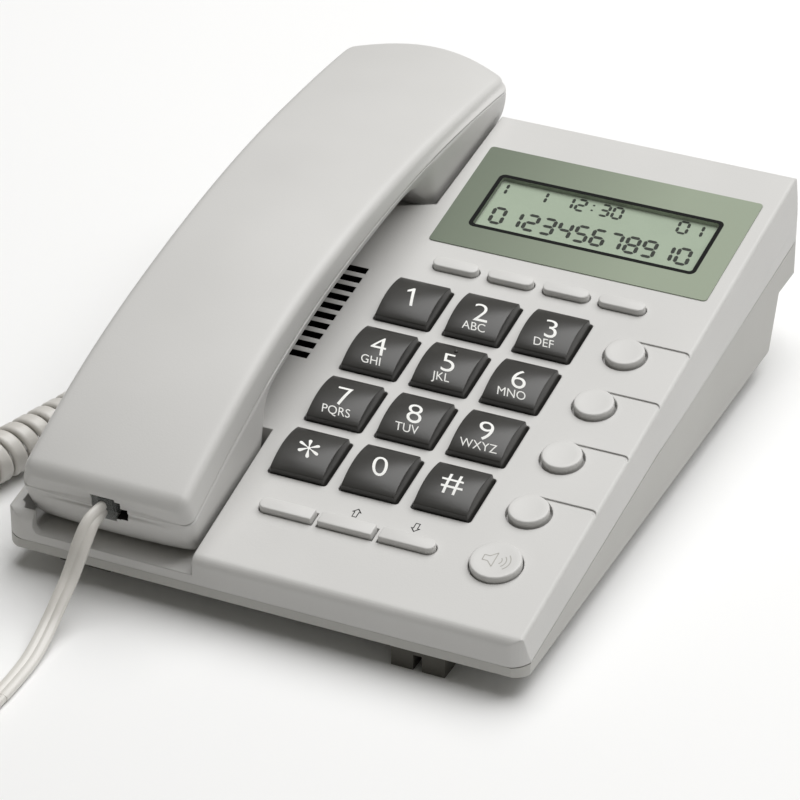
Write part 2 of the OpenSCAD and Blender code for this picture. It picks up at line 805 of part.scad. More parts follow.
module base_plug() {
    color(clear_colour) translate([-base_w / 2 - 1.4, base_jack_y, base_jack_z])
        rotate([0, 0, -90]) plug(10.8);
}

// Middle line of the coil on the floor: straight, one bend, straight
bend_len = coil_bend_r * coil_bend * PI / 180;
coil_len = (curls + 0.5) * curl_pitch;
coil_end_heading = 180 - coil_bend;
bend_centre = coil_start + [-coil_lead_in, coil_bend_r];
bend_end = bend_centre + coil_bend_r * [cos(-90 - coil_bend), sin(-90 - coil_bend)];

function coil_heading(s) = 180 - coil_bend * clamp01((s - coil_lead_in) / bend_len);
function coil_along(s) = [cos(coil_heading(s)), sin(coil_heading(s)), 0];
function coil_middle(s) =
    let (q = s < coil_lead_in ? coil_start + [-s, 0]
         : s < coil_lead_in + bend_len
         ? bend_centre + coil_bend_r * [cos(90 + coil_heading(s)), sin(90 + coil_heading(s))]
         : bend_end + (s - coil_lead_in - bend_len) * [cos(coil_end_heading), sin(coil_end_heading)])
    [q[0], q[1], coil_z];

// Flat cord section: wide along one direction, thin along the other
function flat_ring(c, wide, thin, sides) = [
    for (j = [0:sides - 1]) let (a = 360 * j / sides)
    c + wide * cos(a) * cord_w / 2 + thin * sin(a) * cord_t / 2];

function curl_angle(i) = -90 + 45 * i;
function curl_out(i) = let (s = curl_pitch * i / 8, a = curl_angle(i))
    turn_left(coil_along(s)) * cos(a) + [0, 0, 1] * sin(a);
function curl_point(i) = coil_middle(curl_pitch * i / 8) + curl_r * curl_out(i);
curl_steps = 8 * curls + 4;
tip_side = turn_left(coil_along(coil_len));

curl_rings = concat(
    [flat_ring(curl_point(0) - turn_left(coil_along(0)) * cord_tip, coil_along(0), curl_out(0), 6)],
    [for (i = [0:curl_steps]) flat_ring(curl_point(i), coil_along(curl_pitch * i / 8), curl_out(i), 6)],
    [flat_ring(curl_point(curl_steps) - tip_side * cord_tip, coil_along(coil_len),
               curl_out(curl_steps), 6)]);

// Least gap between neighbouring curls, measured between the points of their rings
curl_gap = min([for (i = [1:curl_steps - 8], p = curl_rings[i], q = curl_rings[i + 8]) norm(p - q)]);
echo(curl_gap = curl_gap);

module cord_coil() {
    color(cord_colour) skin(curl_rings);
}

// Tube along a list of points; its wide side is level where its roll is 0
module lead(route, first, last, roll) {
    n = len(route);
    skin([for (i = [0:n - 1])
        let (d = i == 0 ? first : i == n - 1 ? last : unit(route[i + 1] - route[i - 1]),
             level = unit(cross(d, [0, 0, 1])),
             up = cross(level, d),
             r = i < len(roll) ? roll[i] : 0)
        flat_ring(route[i], level * cos(r) + up * sin(r), up * cos(r) - level * sin(r), 8)]);
}

coil_first = curl_point(0) - turn_left(coil_along(0)) * cord_tip;
coil_last = curl_point(curl_steps) - tip_side * cord_tip;

front_route = concat([[-48, -111, 26.7], [-48.7, -117, 25.4], [-49.4, -121.2, 21],
    [-50, -124.2, 16.3], [-50.5, -127.5, 12.2], [-50.7, -132.6, 8.6], [-50.6, -139, 5],
    [-50, -146, 2.8], [-49.4, -153, 1.7], [-49.1, -161, 1.4]], [coil_first]);
front_roll = [90, 80, 62, 40, 20, 6];
rear_route = concat([coil_last], [[-86.6, -46, 12.4], [-85, -38, 10], [-86, -28, 7], [-89.5, -18, 5],
    [-94, -8, 5], [-98, 0, 7], [-97, 6, 11], [-92, 8, 13.6], [-86.4, 8, 14], [-81.4, 8, 14]]);

module cord_front_lead() {
    color(cord_colour) lead(front_route, [0, -cos(tilt), -sin(tilt)], [0, -1, 0], front_roll);
}

module cord_rear_lead() {
    color(cord_colour) lead(rear_route, -tip_side, [1, 0, 0], []);
}

base_top_cover();
base_bottom_cover();
rubber_feet();
base_screws();
display_lens();
lcd_panel();
lcd_holder();
main_board();
keypad_mat();
loudspeaker();
line_jack();
base_handset_jack();
hook_switch();
hook_plunger();
for (row = [0:3], col = [0:2])
    dial_key(row, col);
pill_button(0);  // set_button
pill_button(1);  // contrast_button
pill_button(2);  // timer_button
pill_button(3);  // delete_button
round_button(round_u, round_v[0], round_d, round_gap);  // prefix_button
round_button(round_u, round_v[1], round_d, round_gap);  // pause_button
round_button(round_u, round_v[2], round_d, round_gap);  // flash_button
round_button(round_u, round_v[3], round_d, round_gap);  // redial_button
round_button(speaker_u, speaker_v, speaker_d, button_gap);  // speaker_button
bar_button(0);  // outgoing_button
bar_button(1);  // up_button
bar_button(2);  // down_button
handset_back_shell();
handset_front_shell();
earpiece();
microphone();
handset_weight();
handset_jack();
handset_screws();
handset_plug();
cord_front_lead();
cord_coil();
cord_rear_lead();
base_plug();
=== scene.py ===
# %% [markdown]
# # A corded desk telephone
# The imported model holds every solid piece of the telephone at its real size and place.
# This lesson adds what makes it look real: the camera and light, the curly cord, smooth
# moulded handset shells, keys with rounded edges and printed characters, and a material
# for each plastic, print and metal.

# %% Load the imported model
import json
import math

import bpy
from mathutils import Matrix, Vector


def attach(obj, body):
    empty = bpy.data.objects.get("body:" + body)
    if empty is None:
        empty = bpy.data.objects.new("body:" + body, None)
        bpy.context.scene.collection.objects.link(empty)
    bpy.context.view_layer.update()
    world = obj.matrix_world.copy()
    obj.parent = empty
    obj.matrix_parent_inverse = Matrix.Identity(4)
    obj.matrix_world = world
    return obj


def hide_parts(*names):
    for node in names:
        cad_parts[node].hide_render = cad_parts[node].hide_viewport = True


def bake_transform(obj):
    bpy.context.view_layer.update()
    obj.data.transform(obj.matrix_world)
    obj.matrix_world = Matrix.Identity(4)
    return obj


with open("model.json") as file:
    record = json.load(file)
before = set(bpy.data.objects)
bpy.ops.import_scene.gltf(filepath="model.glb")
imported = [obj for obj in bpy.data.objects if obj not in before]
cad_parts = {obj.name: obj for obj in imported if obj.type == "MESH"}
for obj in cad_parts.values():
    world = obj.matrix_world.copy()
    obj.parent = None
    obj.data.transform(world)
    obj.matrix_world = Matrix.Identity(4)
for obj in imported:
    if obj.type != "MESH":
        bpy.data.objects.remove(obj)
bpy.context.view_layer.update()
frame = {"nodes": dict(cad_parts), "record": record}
nodes = frame["nodes"]
print("pieces in the packed model:", len(nodes))

# %% [markdown]
# The panel slopes by ten degrees, and most pieces are easiest to make flat. So each is
# made in the panel's own directions: u to the right, v up the slope and n out of it.
# One matrix then lays the finished mesh on the panel, so every object stays at the origin.

# %% Panel directions
MM = 0.001
TILT = math.radians(10)
PANEL_START = (0, -74 * MM, 25.8 * MM)
PANEL = Matrix.Translation(PANEL_START) @ Matrix.Rotation(TILT, 4, "X")


def on_panel(piece, u=0.0, v=0.0, n=0.0):
    """Lays a mesh on the panel, u, v and n millimetres from the panel's own origin."""
    piece.data.transform(PANEL @ Matrix.Translation((u * MM, v * MM, n * MM)))
    piece.data.update()
    return piece


def only(piece):
    """Leaves one object selected and active, as a click on it would."""
    bpy.ops.object.select_all(action="DESELECT")
    piece.select_set(True)
    bpy.context.view_layer.objects.active = piece
    return piece


def new_piece(name, points, faces):
    """A new object from points and faces, with every face turned outwards."""
    mesh = bpy.data.meshes.new(name)
    mesh.from_pydata(points, [], faces)
    piece = bpy.data.objects.new(name, mesh)
    bpy.context.scene.collection.objects.link(piece)
    only(piece)
    bpy.ops.object.mode_set(mode="EDIT")
    bpy.ops.mesh.select_all(action="SELECT")
    bpy.ops.mesh.normals_make_consistent(inside=False)
    bpy.ops.object.mode_set(mode="OBJECT")
    return piece


def apply_modifier(piece, modifier):
    only(piece)
    bpy.ops.object.modifier_apply(modifier=modifier.name)


def shade_smooth(piece, degrees):
    """Shades a piece smooth, with a crease where faces meet at a larger angle."""
    only(piece)
    bpy.ops.object.shade_smooth_by_angle(angle=math.radians(degrees))


print("panel slope in degrees:", round(math.degrees(TILT), 1))

# %% [markdown]
# ## Camera
# A long lens from over a metre away keeps the keypad's rows almost parallel. The camera
# stands to the right of the user and looks down by about 32 degrees.

# %% Place the camera
LOOKED_AT = Vector((2.0, -23.9, 25.8)) * MM
TO_CAMERA = Vector((0.3552, -0.7730, 0.5257)).normalized()
CAMERA_DISTANCE = 1137.7
SENSOR_W = 36
FOCAL_LENGTH = 177.6

bpy.ops.object.camera_add(location=LOOKED_AT + TO_CAMERA * CAMERA_DISTANCE * MM)
camera = bpy.context.object
camera.rotation_euler = (-TO_CAMERA).to_track_quat("-Z", "Y").to_euler()
camera.data.sensor_width = SENSOR_W
camera.data.lens = FOCAL_LENGTH
camera.data.clip_end = 20
bpy.context.scene.camera = camera
print("camera height in metres:", round(camera.location.z, 3))

# %% [markdown]
# ## Handset cord
# A handset cord is a flat PVC cord with four wires, so its section is a wide oval with a
# shallow groove down the middle. Its curls lie on the desk in one arc, and a straight
# lead joins each end to a plug. A curve's round bevel can't give this section, so each
# stretch is a skin over rings that follow the cord's middle line.

# %% Cord section and skin
LEAD_W = 5.4 * MM
CURL_W = 5.0 * MM
CORD_T = 2.6 * MM
FLATNESS = 0.8
GROOVE_DEPTH = 0.3
GROOVE_WIDTH = 0.15


def cord_section(sides, width):
    """Points of the flat section, as metres along its wide and its thin direction."""
    points = []
    for j in range(sides):
        angle = 2 * math.pi * j / sides
        wide = math.copysign(abs(math.cos(angle)) ** FLATNESS, math.cos(angle))
        thin = math.copysign(abs(math.sin(angle)) ** FLATNESS, math.sin(angle))
        groove = GROOVE_DEPTH * math.exp(-(wide / GROOVE_WIDTH) ** 2)
        points.append((wide * width / 2, thin * (1 - groove) * CORD_T / 2))
    return points


def skin(name, rings):
    """A closed tube over rings of points, with a face at each end."""
    sides = len(rings[0])
    points = [p for ring in rings for p in ring]
    faces = [list(range(sides))[::-1]]
    for i in range(len(rings) - 1):
        for j in range(sides):
            a, b = i * sides + j, i * sides + (j + 1) % sides
            faces.append([a, b, b + sides, a + sides])
    last = (len(rings) - 1) * sides
    faces.append(list(range(last, last + sides)))
    piece = new_piece(name, points, faces)
    shade_smooth(piece, 50)
    return piece


def cord_ring(middle, wide, thin, section):
    """The section's points round a middle, along its wide and its thin direction."""
    return [middle + wide * x + thin * y for x, y in section]


# %% [markdown]
# The curls follow a helix whose middle line runs straight, bends round a quarter circle
# and a little more, and runs straight again. Every curl is the same, so one formula gives
# the point at any step.

# %% Curls
CURLS = 30
CURL_PITCH = 5.9 * MM
CURL_R = 6.2 * MM
COIL_START = Vector((-49, -175, 0)) * MM
LEAD_IN = 17.5 * MM
BEND_R = 50 * MM
BEND = math.radians(107)
TIP = 5 * MM
COIL_Z = CURL_R + CORD_T / 2
STEPS = 24
CURL_SIDES = 16


def clamped(share):
    return min(1, max(0, share))


def coil_heading(s):
    """The angle in which the coil's middle line runs at the distance s along it."""
    return math.pi - BEND * clamped((s - LEAD_IN) / (BEND_R * BEND))


def coil_along(s):
    return Vector((math.cos(coil_heading(s)), math.sin(coil_heading(s)), 0))


def turn_left(d):
    return Vector((-d.y, d.x, 0))


def coil_middle(s):
    """The point of the coil's middle line at the distance s along it."""
    centre = COIL_START + Vector((-LEAD_IN, BEND_R, 0))
    if s < LEAD_IN:
        place = COIL_START + Vector((-s, 0, 0))
    else:
        round_by = min(s - LEAD_IN, BEND_R * BEND)
        angle = math.radians(-90) - round_by / BEND_R
        place = centre + BEND_R * Vector((math.cos(angle), math.sin(angle), 0))
        place += max(0, s - LEAD_IN - BEND_R * BEND) * coil_along(s)
    place.z = COIL_Z
    return place


def curl_out(i):
    """The direction from the coil's middle line out to the cord at step i."""
    angle = math.radians(-90) + 2 * math.pi * i / STEPS
    s = CURL_PITCH * i / STEPS
    return turn_left(coil_along(s)) * math.cos(angle) + Vector((0, 0, 1)) * math.sin(angle)


def curl_point(i):
    return coil_middle(CURL_PITCH * i / STEPS) + CURL_R * curl_out(i)


coil_last_step = int(STEPS * (CURLS + 0.5))
coil_length_s = CURL_PITCH * coil_last_step / STEPS
coil_first = curl_point(0) - turn_left(coil_along(0)) * TIP
coil_last = curl_point(coil_last_step) - turn_left(coil_along(coil_length_s)) * TIP
coil_section = cord_section(CURL_SIDES, CURL_W)
coil_path = [coil_first]
coil_path += [curl_point(i) for i in range(coil_last_step + 1)]
coil_path += [coil_last]
coil_rings = [cord_ring(coil_first, coil_along(0), curl_out(0), coil_section)]
for i in range(coil_last_step + 1):
    along = coil_along(CURL_PITCH * i / STEPS)
    coil_rings.append(cord_ring(curl_point(i), along, curl_out(i), coil_section))
coil_rings.append(
    cord_ring(coil_last, coil_along(coil_length_s), curl_out(coil_last_step), coil_section)
)
coil = skin("curly_cord", coil_rings)


def path_length(points):
    return sum((b - a).length for a, b in zip(points, points[1:]))


print("curled cord, metres along the wire:", round(path_length(coil_path), 3))

# %% [markdown]
# Each lead is a smooth line through a few points: straight out of its plug, down under
# its own weight and along the desk to the first curl. The front lead leaves the handset
# standing on edge and rolls flat on its way down.

# %% Straight leads
FRONT_ROUTE = [
    (-48, -111, 26.7), (-48.7, -117, 25.4), (-49.4, -121.2, 21), (-50, -124.2, 16.3),
    (-50.5, -127.5, 12.2), (-50.7, -132.6, 8.6), (-50.6, -139, 5), (-50, -146, 2.8),
    (-49.4, -153, 1.7), (-49.1, -161, 1.4),
]
FRONT_ROLL = [90, 58, 30, 12, 2, 0, 0, 0, 0, 0, 0]
REAR_ROUTE = [
    (-86.6, -46, 12.4), (-85, -38, 10), (-86, -28, 7), (-89.5, -18, 5), (-94, -8, 5),
    (-98, 0, 7), (-97, 6, 11), (-92, 8, 13.6), (-86.4, 8, 14), (-81.4, 8, 14),
]
LEAD_CUTS = 5
LEAD_SIDES = 32


def smooth_line(points, rolls):
    """A smooth line through the points, with the roll of the flat cord at each."""
    line = []
    for i in range(len(points) - 1):
        before = points[max(0, i - 1)]
        a, b = points[i], points[i + 1]
        after = points[min(len(points) - 1, i + 2)]
        for k in range(LEAD_CUTS):
            t = k / LEAD_CUTS
            place = a * (2 - 5 * t * t + 3 * t ** 3) + b * (t + 4 * t * t - 3 * t ** 3)
            place += before * (-t + 2 * t * t - t ** 3) + after * (t ** 3 - t * t)
            line.append((place / 2, rolls[i] + (rolls[i + 1] - rolls[i]) * t))
    line.append((points[-1], rolls[-1]))
    return line


def make_lead(name, points, rolls, first, last):
    """A lead through the points that starts in one direction and ends in another."""
    line = smooth_line(points, rolls)
    section = cord_section(LEAD_SIDES, LEAD_W)
    rings = []
    for i, (place, roll) in enumerate(line):
        if i == 0:
            ahead = first
        elif i == len(line) - 1:
            ahead = last
        else:
            ahead = (line[i + 1][0] - line[i - 1][0]).normalized()
        level = ahead.cross(Vector((0, 0, 1))).normalized()
        up = level.cross(ahead)
        turn = math.radians(roll)
        wide = level * math.cos(turn) + up * math.sin(turn)
        thin = up * math.cos(turn) - level * math.sin(turn)
        rings.append(cord_ring(place, wide, thin, section))
    return skin(name, rings), [place for place, roll in line]


front_points = [Vector(p) * MM for p in FRONT_ROUTE] + [coil_first]
out_of_handset = Vector((0, -math.cos(TILT), -math.sin(TILT)))
front_lead, front_path = make_lead(
    "front_lead", front_points, FRONT_ROLL, out_of_handset, Vector((0, -1, 0))
)
rear_points = [coil_last] + [Vector(p) * MM for p in REAR_ROUTE]
out_of_coil = turn_left(coil_along(coil_length_s)) * -1
rear_lead, rear_path = make_lead(
    "rear_lead", rear_points, [0] * len(rear_points), out_of_coil, Vector((1, 0, 0))
)
print("leads in metres:", round(path_length(front_path), 3), round(path_length(rear_path), 3))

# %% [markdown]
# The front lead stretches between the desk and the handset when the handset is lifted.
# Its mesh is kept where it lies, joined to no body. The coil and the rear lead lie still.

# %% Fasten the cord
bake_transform(front_lead)
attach(coil, "base")
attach(rear_lead, "base")
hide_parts("cord_front_lead")
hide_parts("cord_coil")
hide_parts("cord_rear_lead")

# %% [markdown]
# ## Materials
# Colours are picked as sRGB hex values, so one function turns them to the linear values
# that shaders work in. One more function adds a node with its settings and links.

# %% Colour and node helpers
def colour(hex_value):
    """An sRGB hex value as linear red, green, blue and alpha."""
    parts = [int(hex_value[i:i + 2], 16) / 255 for i in (1, 3, 5)]
    linear = [p / 12.92 if p <= 0.04045 else ((p + 0.055) / 1.055) ** 2.4 for p in parts]
    return (*linear, 1.0)


def add(tree, kind, links=None, **settings):
    """Adds a node, sets its properties and sockets, and links what comes from a socket."""
    node = tree.nodes.new(kind)
    for name, value in settings.items():
        setattr(node, name, value)
    for socket, value in (links or {}).items():
        if isinstance(value, bpy.types.NodeSocket):
            tree.links.new(value, node.inputs[socket])
        else:
            node.inputs[socket].default_value = value
    return node


def new_material(name, **surface):
    """A material with one Principled surface. Returns its tree and that surface."""
    material = bpy.data.materials.new(name)
    material.use_nodes = True
    tree = material.node_tree
    tree.nodes.clear()
    shader = add(tree, "ShaderNodeBsdfPrincipled", surface)
    out = add(tree, "ShaderNodeOutputMaterial")
    tree.links.new(shader.outputs["BSDF"], out.inputs["Surface"])
    return material, tree, shader


def new_plain_material(name, **surface):
    """A material that is one even surface, such as a clear plastic."""
    return new_material(name, **surface)[0]


def add_tones(tree, factor, deeper, tone):
    """A ramp from the deeper to the lighter tone."""
    tones = add(tree, "ShaderNodeValToRGB", {"Fac": factor})
    tones.color_ramp.elements[0].color = colour(deeper)
    tones.color_ramp.elements[1].color = colour(tone)
    return tones


# %% [markdown]
# ### Textured ABS
# The covers, the handset and the grey buttons are injection-moulded ABS. Their tool was
# spark-eroded, which leaves a fine even grain of about half a millimetre and a soft, satin
# shine. A slow change of tone over a few centimetres keeps the large faces from looking
# flat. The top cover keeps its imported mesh, so a Bevel node rounds its edges in the shading
# alone.

# %% Moulded ABS
ABS_IOR = 1.53
LIGHT_TONES = ("#CECDCB", "#C9C8C6")


def moulded_abs(name, tone, deeper, roughness, grain_mm, grain_depth, edge_mm=0):
    """A moulded plastic. The grain's size and depth and the edge are in millimetres."""
    material, tree, shader = new_material(
        name, **{"Roughness": roughness, "IOR": ABS_IOR, "Specular IOR Level": 0.45}
    )
    place = add(tree, "ShaderNodeTexCoord").outputs["Object"]
    cloud = add(
        tree, "ShaderNodeTexNoise", {"Vector": place, "Scale": 22.0, "Detail": 2.0}
    )
    tones = add_tones(tree, cloud.outputs["Fac"], deeper, tone)
    tones.color_ramp.elements[0].position = 0.3
    tones.color_ramp.elements[1].position = 0.7
    grain = add(
        tree, "ShaderNodeTexNoise",
        {"Vector": place, "Scale": 1 / (grain_mm * MM), "Detail": 1.0},
    )
    bump = add(
        tree, "ShaderNodeBump",
        {"Height": grain.outputs["Fac"], "Strength": 0.35, "Distance": grain_depth * MM},
    )
    if edge_mm:
        soft_edge = add(tree, "ShaderNodeBevel", {"Radius": edge_mm * MM}, samples=4)
        tree.links.new(soft_edge.outputs["Normal"], bump.inputs["Normal"])
    tree.links.new(tones.outputs["Color"], shader.inputs["Base Color"])
    tree.links.new(bump.outputs["Normal"], shader.inputs["Normal"])
    return material


shell_abs = moulded_abs("spark_eroded_light_abs", *LIGHT_TONES, 0.46, 0.6, 0.05)
# The bottom cover is the same light ABS, painted a little darker as shade: it stands in for the
# shadow on the skirt under the top cover's edge.
skirt_abs_painted_shade = moulded_abs("spark_eroded_abs_painted_shade", "#BAB9B5", "#B5B4B0", 0.5, 0.6, 0.05)
button_abs = moulded_abs("smooth_light_abs", "#D2D1CF", "#CDCCCA", 0.4, 0.5, 0.02)
key_abs = moulded_abs("satin_dark_abs", "#3B3A38", "#363533", 0.3, 0.45, 0.03)
socket_abs = moulded_abs("black_socket_abs", "#232322", "#1D1D1C", 0.4, 0.5, 0.02)

# %% [markdown]
# ### Display
# The lens is clear acrylic, printed from behind with a sage border that leaves a window.
# Behind the window lies the liquid crystal panel, a grey-green film between two glasses.

# %% Acrylic, printed film and liquid crystal
ACRYLIC_IOR = 1.49
border_film, border_tree, border_shader = new_material(
    "sage_border_under_acrylic",
    **{"Roughness": 0.42, "IOR": ACRYLIC_IOR, "Specular IOR Level": 0.25},
)
border_place = add(border_tree, "ShaderNodeTexCoord").outputs["Object"]
border_split = add(border_tree, "ShaderNodeSeparateXYZ", {"Vector": border_place})
# Painted light and shade: the border's colour runs from darker at the left to lighter at the
# right.
border_painted_light = add(
    border_tree, "ShaderNodeMapRange",
    {"Value": border_split.outputs["X"], "From Min": -16 * MM, "From Max": 50 * MM},
)
border_ramp = add_tones(border_tree, border_painted_light.outputs["Result"], "#6C7566", "#939D8A")
border_tree.links.new(border_ramp.outputs["Color"], border_shader.inputs["Base Color"])

window_acrylic = new_plain_material(
    "clear_acrylic_window",
    **{
        "Base Color": colour("#C9D3C4"), "Roughness": 0.1, "IOR": ACRYLIC_IOR,
        "Alpha": 0.03, "Specular IOR Level": 0.1,
    },
)


def film_and_painted_shade(name, tone, deeper, roughness, spot_mm):
    """A thin printed or cast film with a faint change of tone, also used for flat painted shade.
    """
    material, tree, shader = new_material(
        name, **{"Roughness": roughness, "Specular IOR Level": 0.15}
    )
    place = add(tree, "ShaderNodeTexCoord").outputs["Object"]
    cloud = add(
        tree, "ShaderNodeTexNoise", {"Vector": place, "Scale": 1 / (spot_mm * MM)}
    )
    tones = add_tones(tree, cloud.outputs["Fac"], deeper, tone)
    tree.links.new(tones.outputs["Color"], shader.inputs["Base Color"])
    return material


crystal_film = film_and_painted_shade("liquid_crystal_film", "#A5B29F", "#9DAA97", 0.5, 12)
segment_ink = film_and_painted_shade("liquid_crystal_segment", "#121411", "#0E100D", 0.5, 2)
black_ink = film_and_painted_shade("black_screen_ink", "#0F100F", "#0B0C0B", 0.7, 3)
white_ink = film_and_painted_shade("white_pad_ink", "#F4F4F1", "#EDEDEA", 0.5, 2)

# %% [markdown]
# ### Other materials
# The cord's sheath is glossy PVC, the feet are dull moulded rubber, the plugs are clear
# polycarbonate, and the small inner pieces are steel, solder-masked board and silicone.

# %% PVC, rubber, polycarbonate, steel, board and silicone
cord_pvc = moulded_abs("glossy_cord_pvc", "#E2E0DB", "#C8C4BE", 0.3, 1.2, 0.03)
foot_rubber = moulded_abs("moulded_foot_rubber", "#55534D", "#4B4943", 0.75, 0.7, 0.12)
mat_silicone = moulded_abs("cast_mat_silicone", "#BDBCB6", "#B4B3AD", 0.6, 0.8, 0.03)
board_mask = moulded_abs("solder_masked_board", "#27603A", "#1F5331", 0.3, 1.5, 0.02)
PC_IOR = 1.58
clear_pc = new_plain_material(
    "clear_plug_polycarbonate",
    **{"Base Color": colour("#A4A7A5"), "Roughness": 0.1, "IOR": PC_IOR, "Alpha": 0.3},
)
# Smoked polycarbonate for the jack, partly its own dark colour and partly painted shade for its
# deep opening; it also gives the walls of the handset's plug opening painted shade.
smoked_pc_and_painted_shade = new_plain_material(
    "smoked_jack_pc_and_painted_shade",
    **{"Base Color": colour("#2B2B2A"), "Roughness": 0.25, "IOR": PC_IOR},
)
cone_paper = film_and_painted_shade("pressed_cone_paper", "#191918", "#121211", 0.9, 1)
plated_steel, steel_tree, steel_shader = new_material(
    "zinc_plated_steel",
    **{"Base Color": colour("#B9BABD"), "Metallic": 1.0},
)
steel_place = add(steel_tree, "ShaderNodeTexCoord").outputs["Object"]
steel_scratch = add(
    steel_tree, "ShaderNodeTexNoise", {"Vector": steel_place, "Scale": 900.0}
)
steel_rough = add(
    steel_tree, "ShaderNodeMapRange",
    {"Value": steel_scratch.outputs["Fac"], "To Min": 0.25, "To Max": 0.45},
)
steel_tree.links.new(steel_rough.outputs["Result"], steel_shader.inputs["Roughness"])


def paint(piece, material):
    """Gives a whole piece one material."""
    piece.data.materials.clear()
    piece.data.materials.append(material)
    return piece


# %% [markdown]
# ### Painting the imported pieces
# The record names a material slot for each piece. A few pieces differ from their slot. The
# walls of the top cover's vents get near-black painted shade, standing in for the shadow where
# little light reaches them. The bottom cover gets a darker copy of the light ABS as painted
# shade, and the jack's dark smoked plastic is partly painted shade for its deep opening.

# %% Paint the imported pieces
SLOT_MATERIALS = {
    "shell": shell_abs, "dark_key": key_abs, "socket": socket_abs, "lens": window_acrylic,
    "lcd": crystal_film, "foot_rubber": foot_rubber, "silicone": mat_silicone,
    "board": board_mask, "steel": plated_steel, "clear_plastic": clear_pc,
    "cord_sheath": cord_pvc,
}
for entry in frame["record"]["subparts"]:
    paint(nodes[entry["node"]], SLOT_MATERIALS[entry["material_slot"]])
for piece in (front_lead, coil, rear_lead):
    paint(piece, cord_pvc)
cover_abs = moulded_abs("spark_eroded_cover_abs", *LIGHT_TONES, 0.46, 0.6, 0.05, 0.6)
# The vents' walls are the cover's own light ABS; this near-black colour is painted shade for the
# shadow inside the slots.
slot_shade = film_and_painted_shade("painted_shade_slot_wall", "#111110", "#0D0D0C", 0.9, 1)
top_cover = paint(nodes["base_top_cover"], cover_abs)
top_cover.data.materials.append(slot_shade)
# The box, in panel millimetres, whose faces get the painted shade of the vents' walls.
VENTS_LOW = (-47, 47, -3)
VENTS_HIGH = (-26, 93, -0.1)
to_panel = PANEL.inverted()
for face in top_cover.data.polygons:
    place = (to_panel @ face.center) / MM
    if all(low < x < high for low, x, high in zip(VENTS_LOW, place, VENTS_HIGH)):
        face.material_index = 1
# Painted shade: the bottom cover gets the darker copy of the light ABS.
paint(nodes["base_bottom_cover"], skirt_abs_painted_shade)
# The jack gets the dark smoked plastic, partly its own colour and partly painted shade.
paint(nodes["handset_jack"], smoked_pc_and_painted_shade)
paint(nodes["loudspeaker"], cone_paper)
print("materials:", len(bpy.data.materials))

# %% [markdown]
# ## Handset
# The handset is two moulded shells that meet at a seam. Its width, its back and its
# underside change all along it, so each shell is a skin over sections, rounded by a
# Subdivision Surface. Two points close to the seam keep that edge tight. The tables give a
# height or a size for a few places v along the handset, in millimetres.

# %% Sections along the handset
HS_U = -48
HS_FRONT = -35
HS_REAR = 182
UNDERSIDE = [
    (-35, 5.8), (-34.6, 3.6), (-34, 1.2), (-33, -1.8), (-31.8, -4.6), (-30.4, -6.6),
    (-27, -7.6), (5, -12.9), (9.5, -12.7), (12.5, -9), (14.5, -2), (17, 4.5), (21, 7.6),
    (27, 8.4), (60, 10.2), (90, 10.6), (112, 10), (121, 8), (125, 4.5), (127.6, -1),
    (129.4, -4.6), (132, -5.9), (172, -5.9), (176, -5.2), (179.4, -2.6), (181.2, 0.4),
    (182, 3.2),
]
TUCK = [(-35, 3), (10, 3), (22, 8), (117, 8), (130, 2.5), (182, 2.5)]
LEAN = [(-35, 1.2), (0, 0.6), (60, 0.4), (100, 0.6), (150, 1.2), (182, 2)]
STATIONS = [
    -35, -34.8, -34.4, -33.8, -33, -32, -31, -29.5, -27, -23, -15, -5, 4, 9.5, 12.5, 14.5,
    17, 21, 27, 38, 50, 60, 75, 90, 103, 112, 121, 125, 127.6, 129.4, 132, 140, 155, 168,
    172, 176, 178.2, 179.8, 181, 181.7, 182,
]
WAIST_V = 50
WAIST_W = 50.8
MOUTH_W = 54
EAR_W = 58
FRONT_BOW = -1.5
FRONT_BOW_LENGTH = 25
REAR_BOW = 10
REAR_BOW_LENGTH = 45
BOW_HALF_W = 28


def lookup(v, table):
    """The value at v on straight lines between the table's points."""
    for (v0, a), (v1, b) in zip(table, table[1:]):
        if v <= v1:
            return a + (b - a) * (v - v0) / (v1 - v0)
    return table[-1][1]


def corner_drop(distance, radius):
    """How far a round corner falls back at a distance from the end."""
    if distance >= radius:
        return 0
    return radius - math.sqrt(radius ** 2 - (radius - distance) ** 2)


def half_width(v):
    """Half the handset's width: narrowest at the waist, widest at the ear cup's end."""
    if v < WAIST_V:
        share = ((WAIST_V - v) / (WAIST_V - HS_FRONT)) ** 1.8
        width = WAIST_W + (MOUTH_W - WAIST_W) * share
    else:
        share = ((v - WAIST_V) / (HS_REAR - WAIST_V)) ** 1.3
        width = WAIST_W + (EAR_W - WAIST_W) * share
    return width / 2 - corner_drop(v - HS_FRONT, 3) - corner_drop(HS_REAR - v, 4)


def seam_n(v):
    """Height of the seam, which falls away in front of and behind its crest."""
    return 19.2 - (0.00107 if v < 70 else 0.00113) * (v - 70) ** 2


def back_n(v):
    """Height of the back's middle, with both ends rounded."""
    back = 28 - (0.0017 if v < 50 else 0.0011) * (v - 50) ** 2
    return back - corner_drop(v - HS_FRONT, 3.5) - corner_drop(HS_REAR - v, 3)


def bow(v):
    """How far the middle of a section stands out behind its sides, near either end."""
    front = FRONT_BOW * clamped(1 - (v - HS_FRONT) / FRONT_BOW_LENGTH)
    return front + REAR_BOW * clamped(1 - (HS_REAR - v) / REAR_BOW_LENGTH)


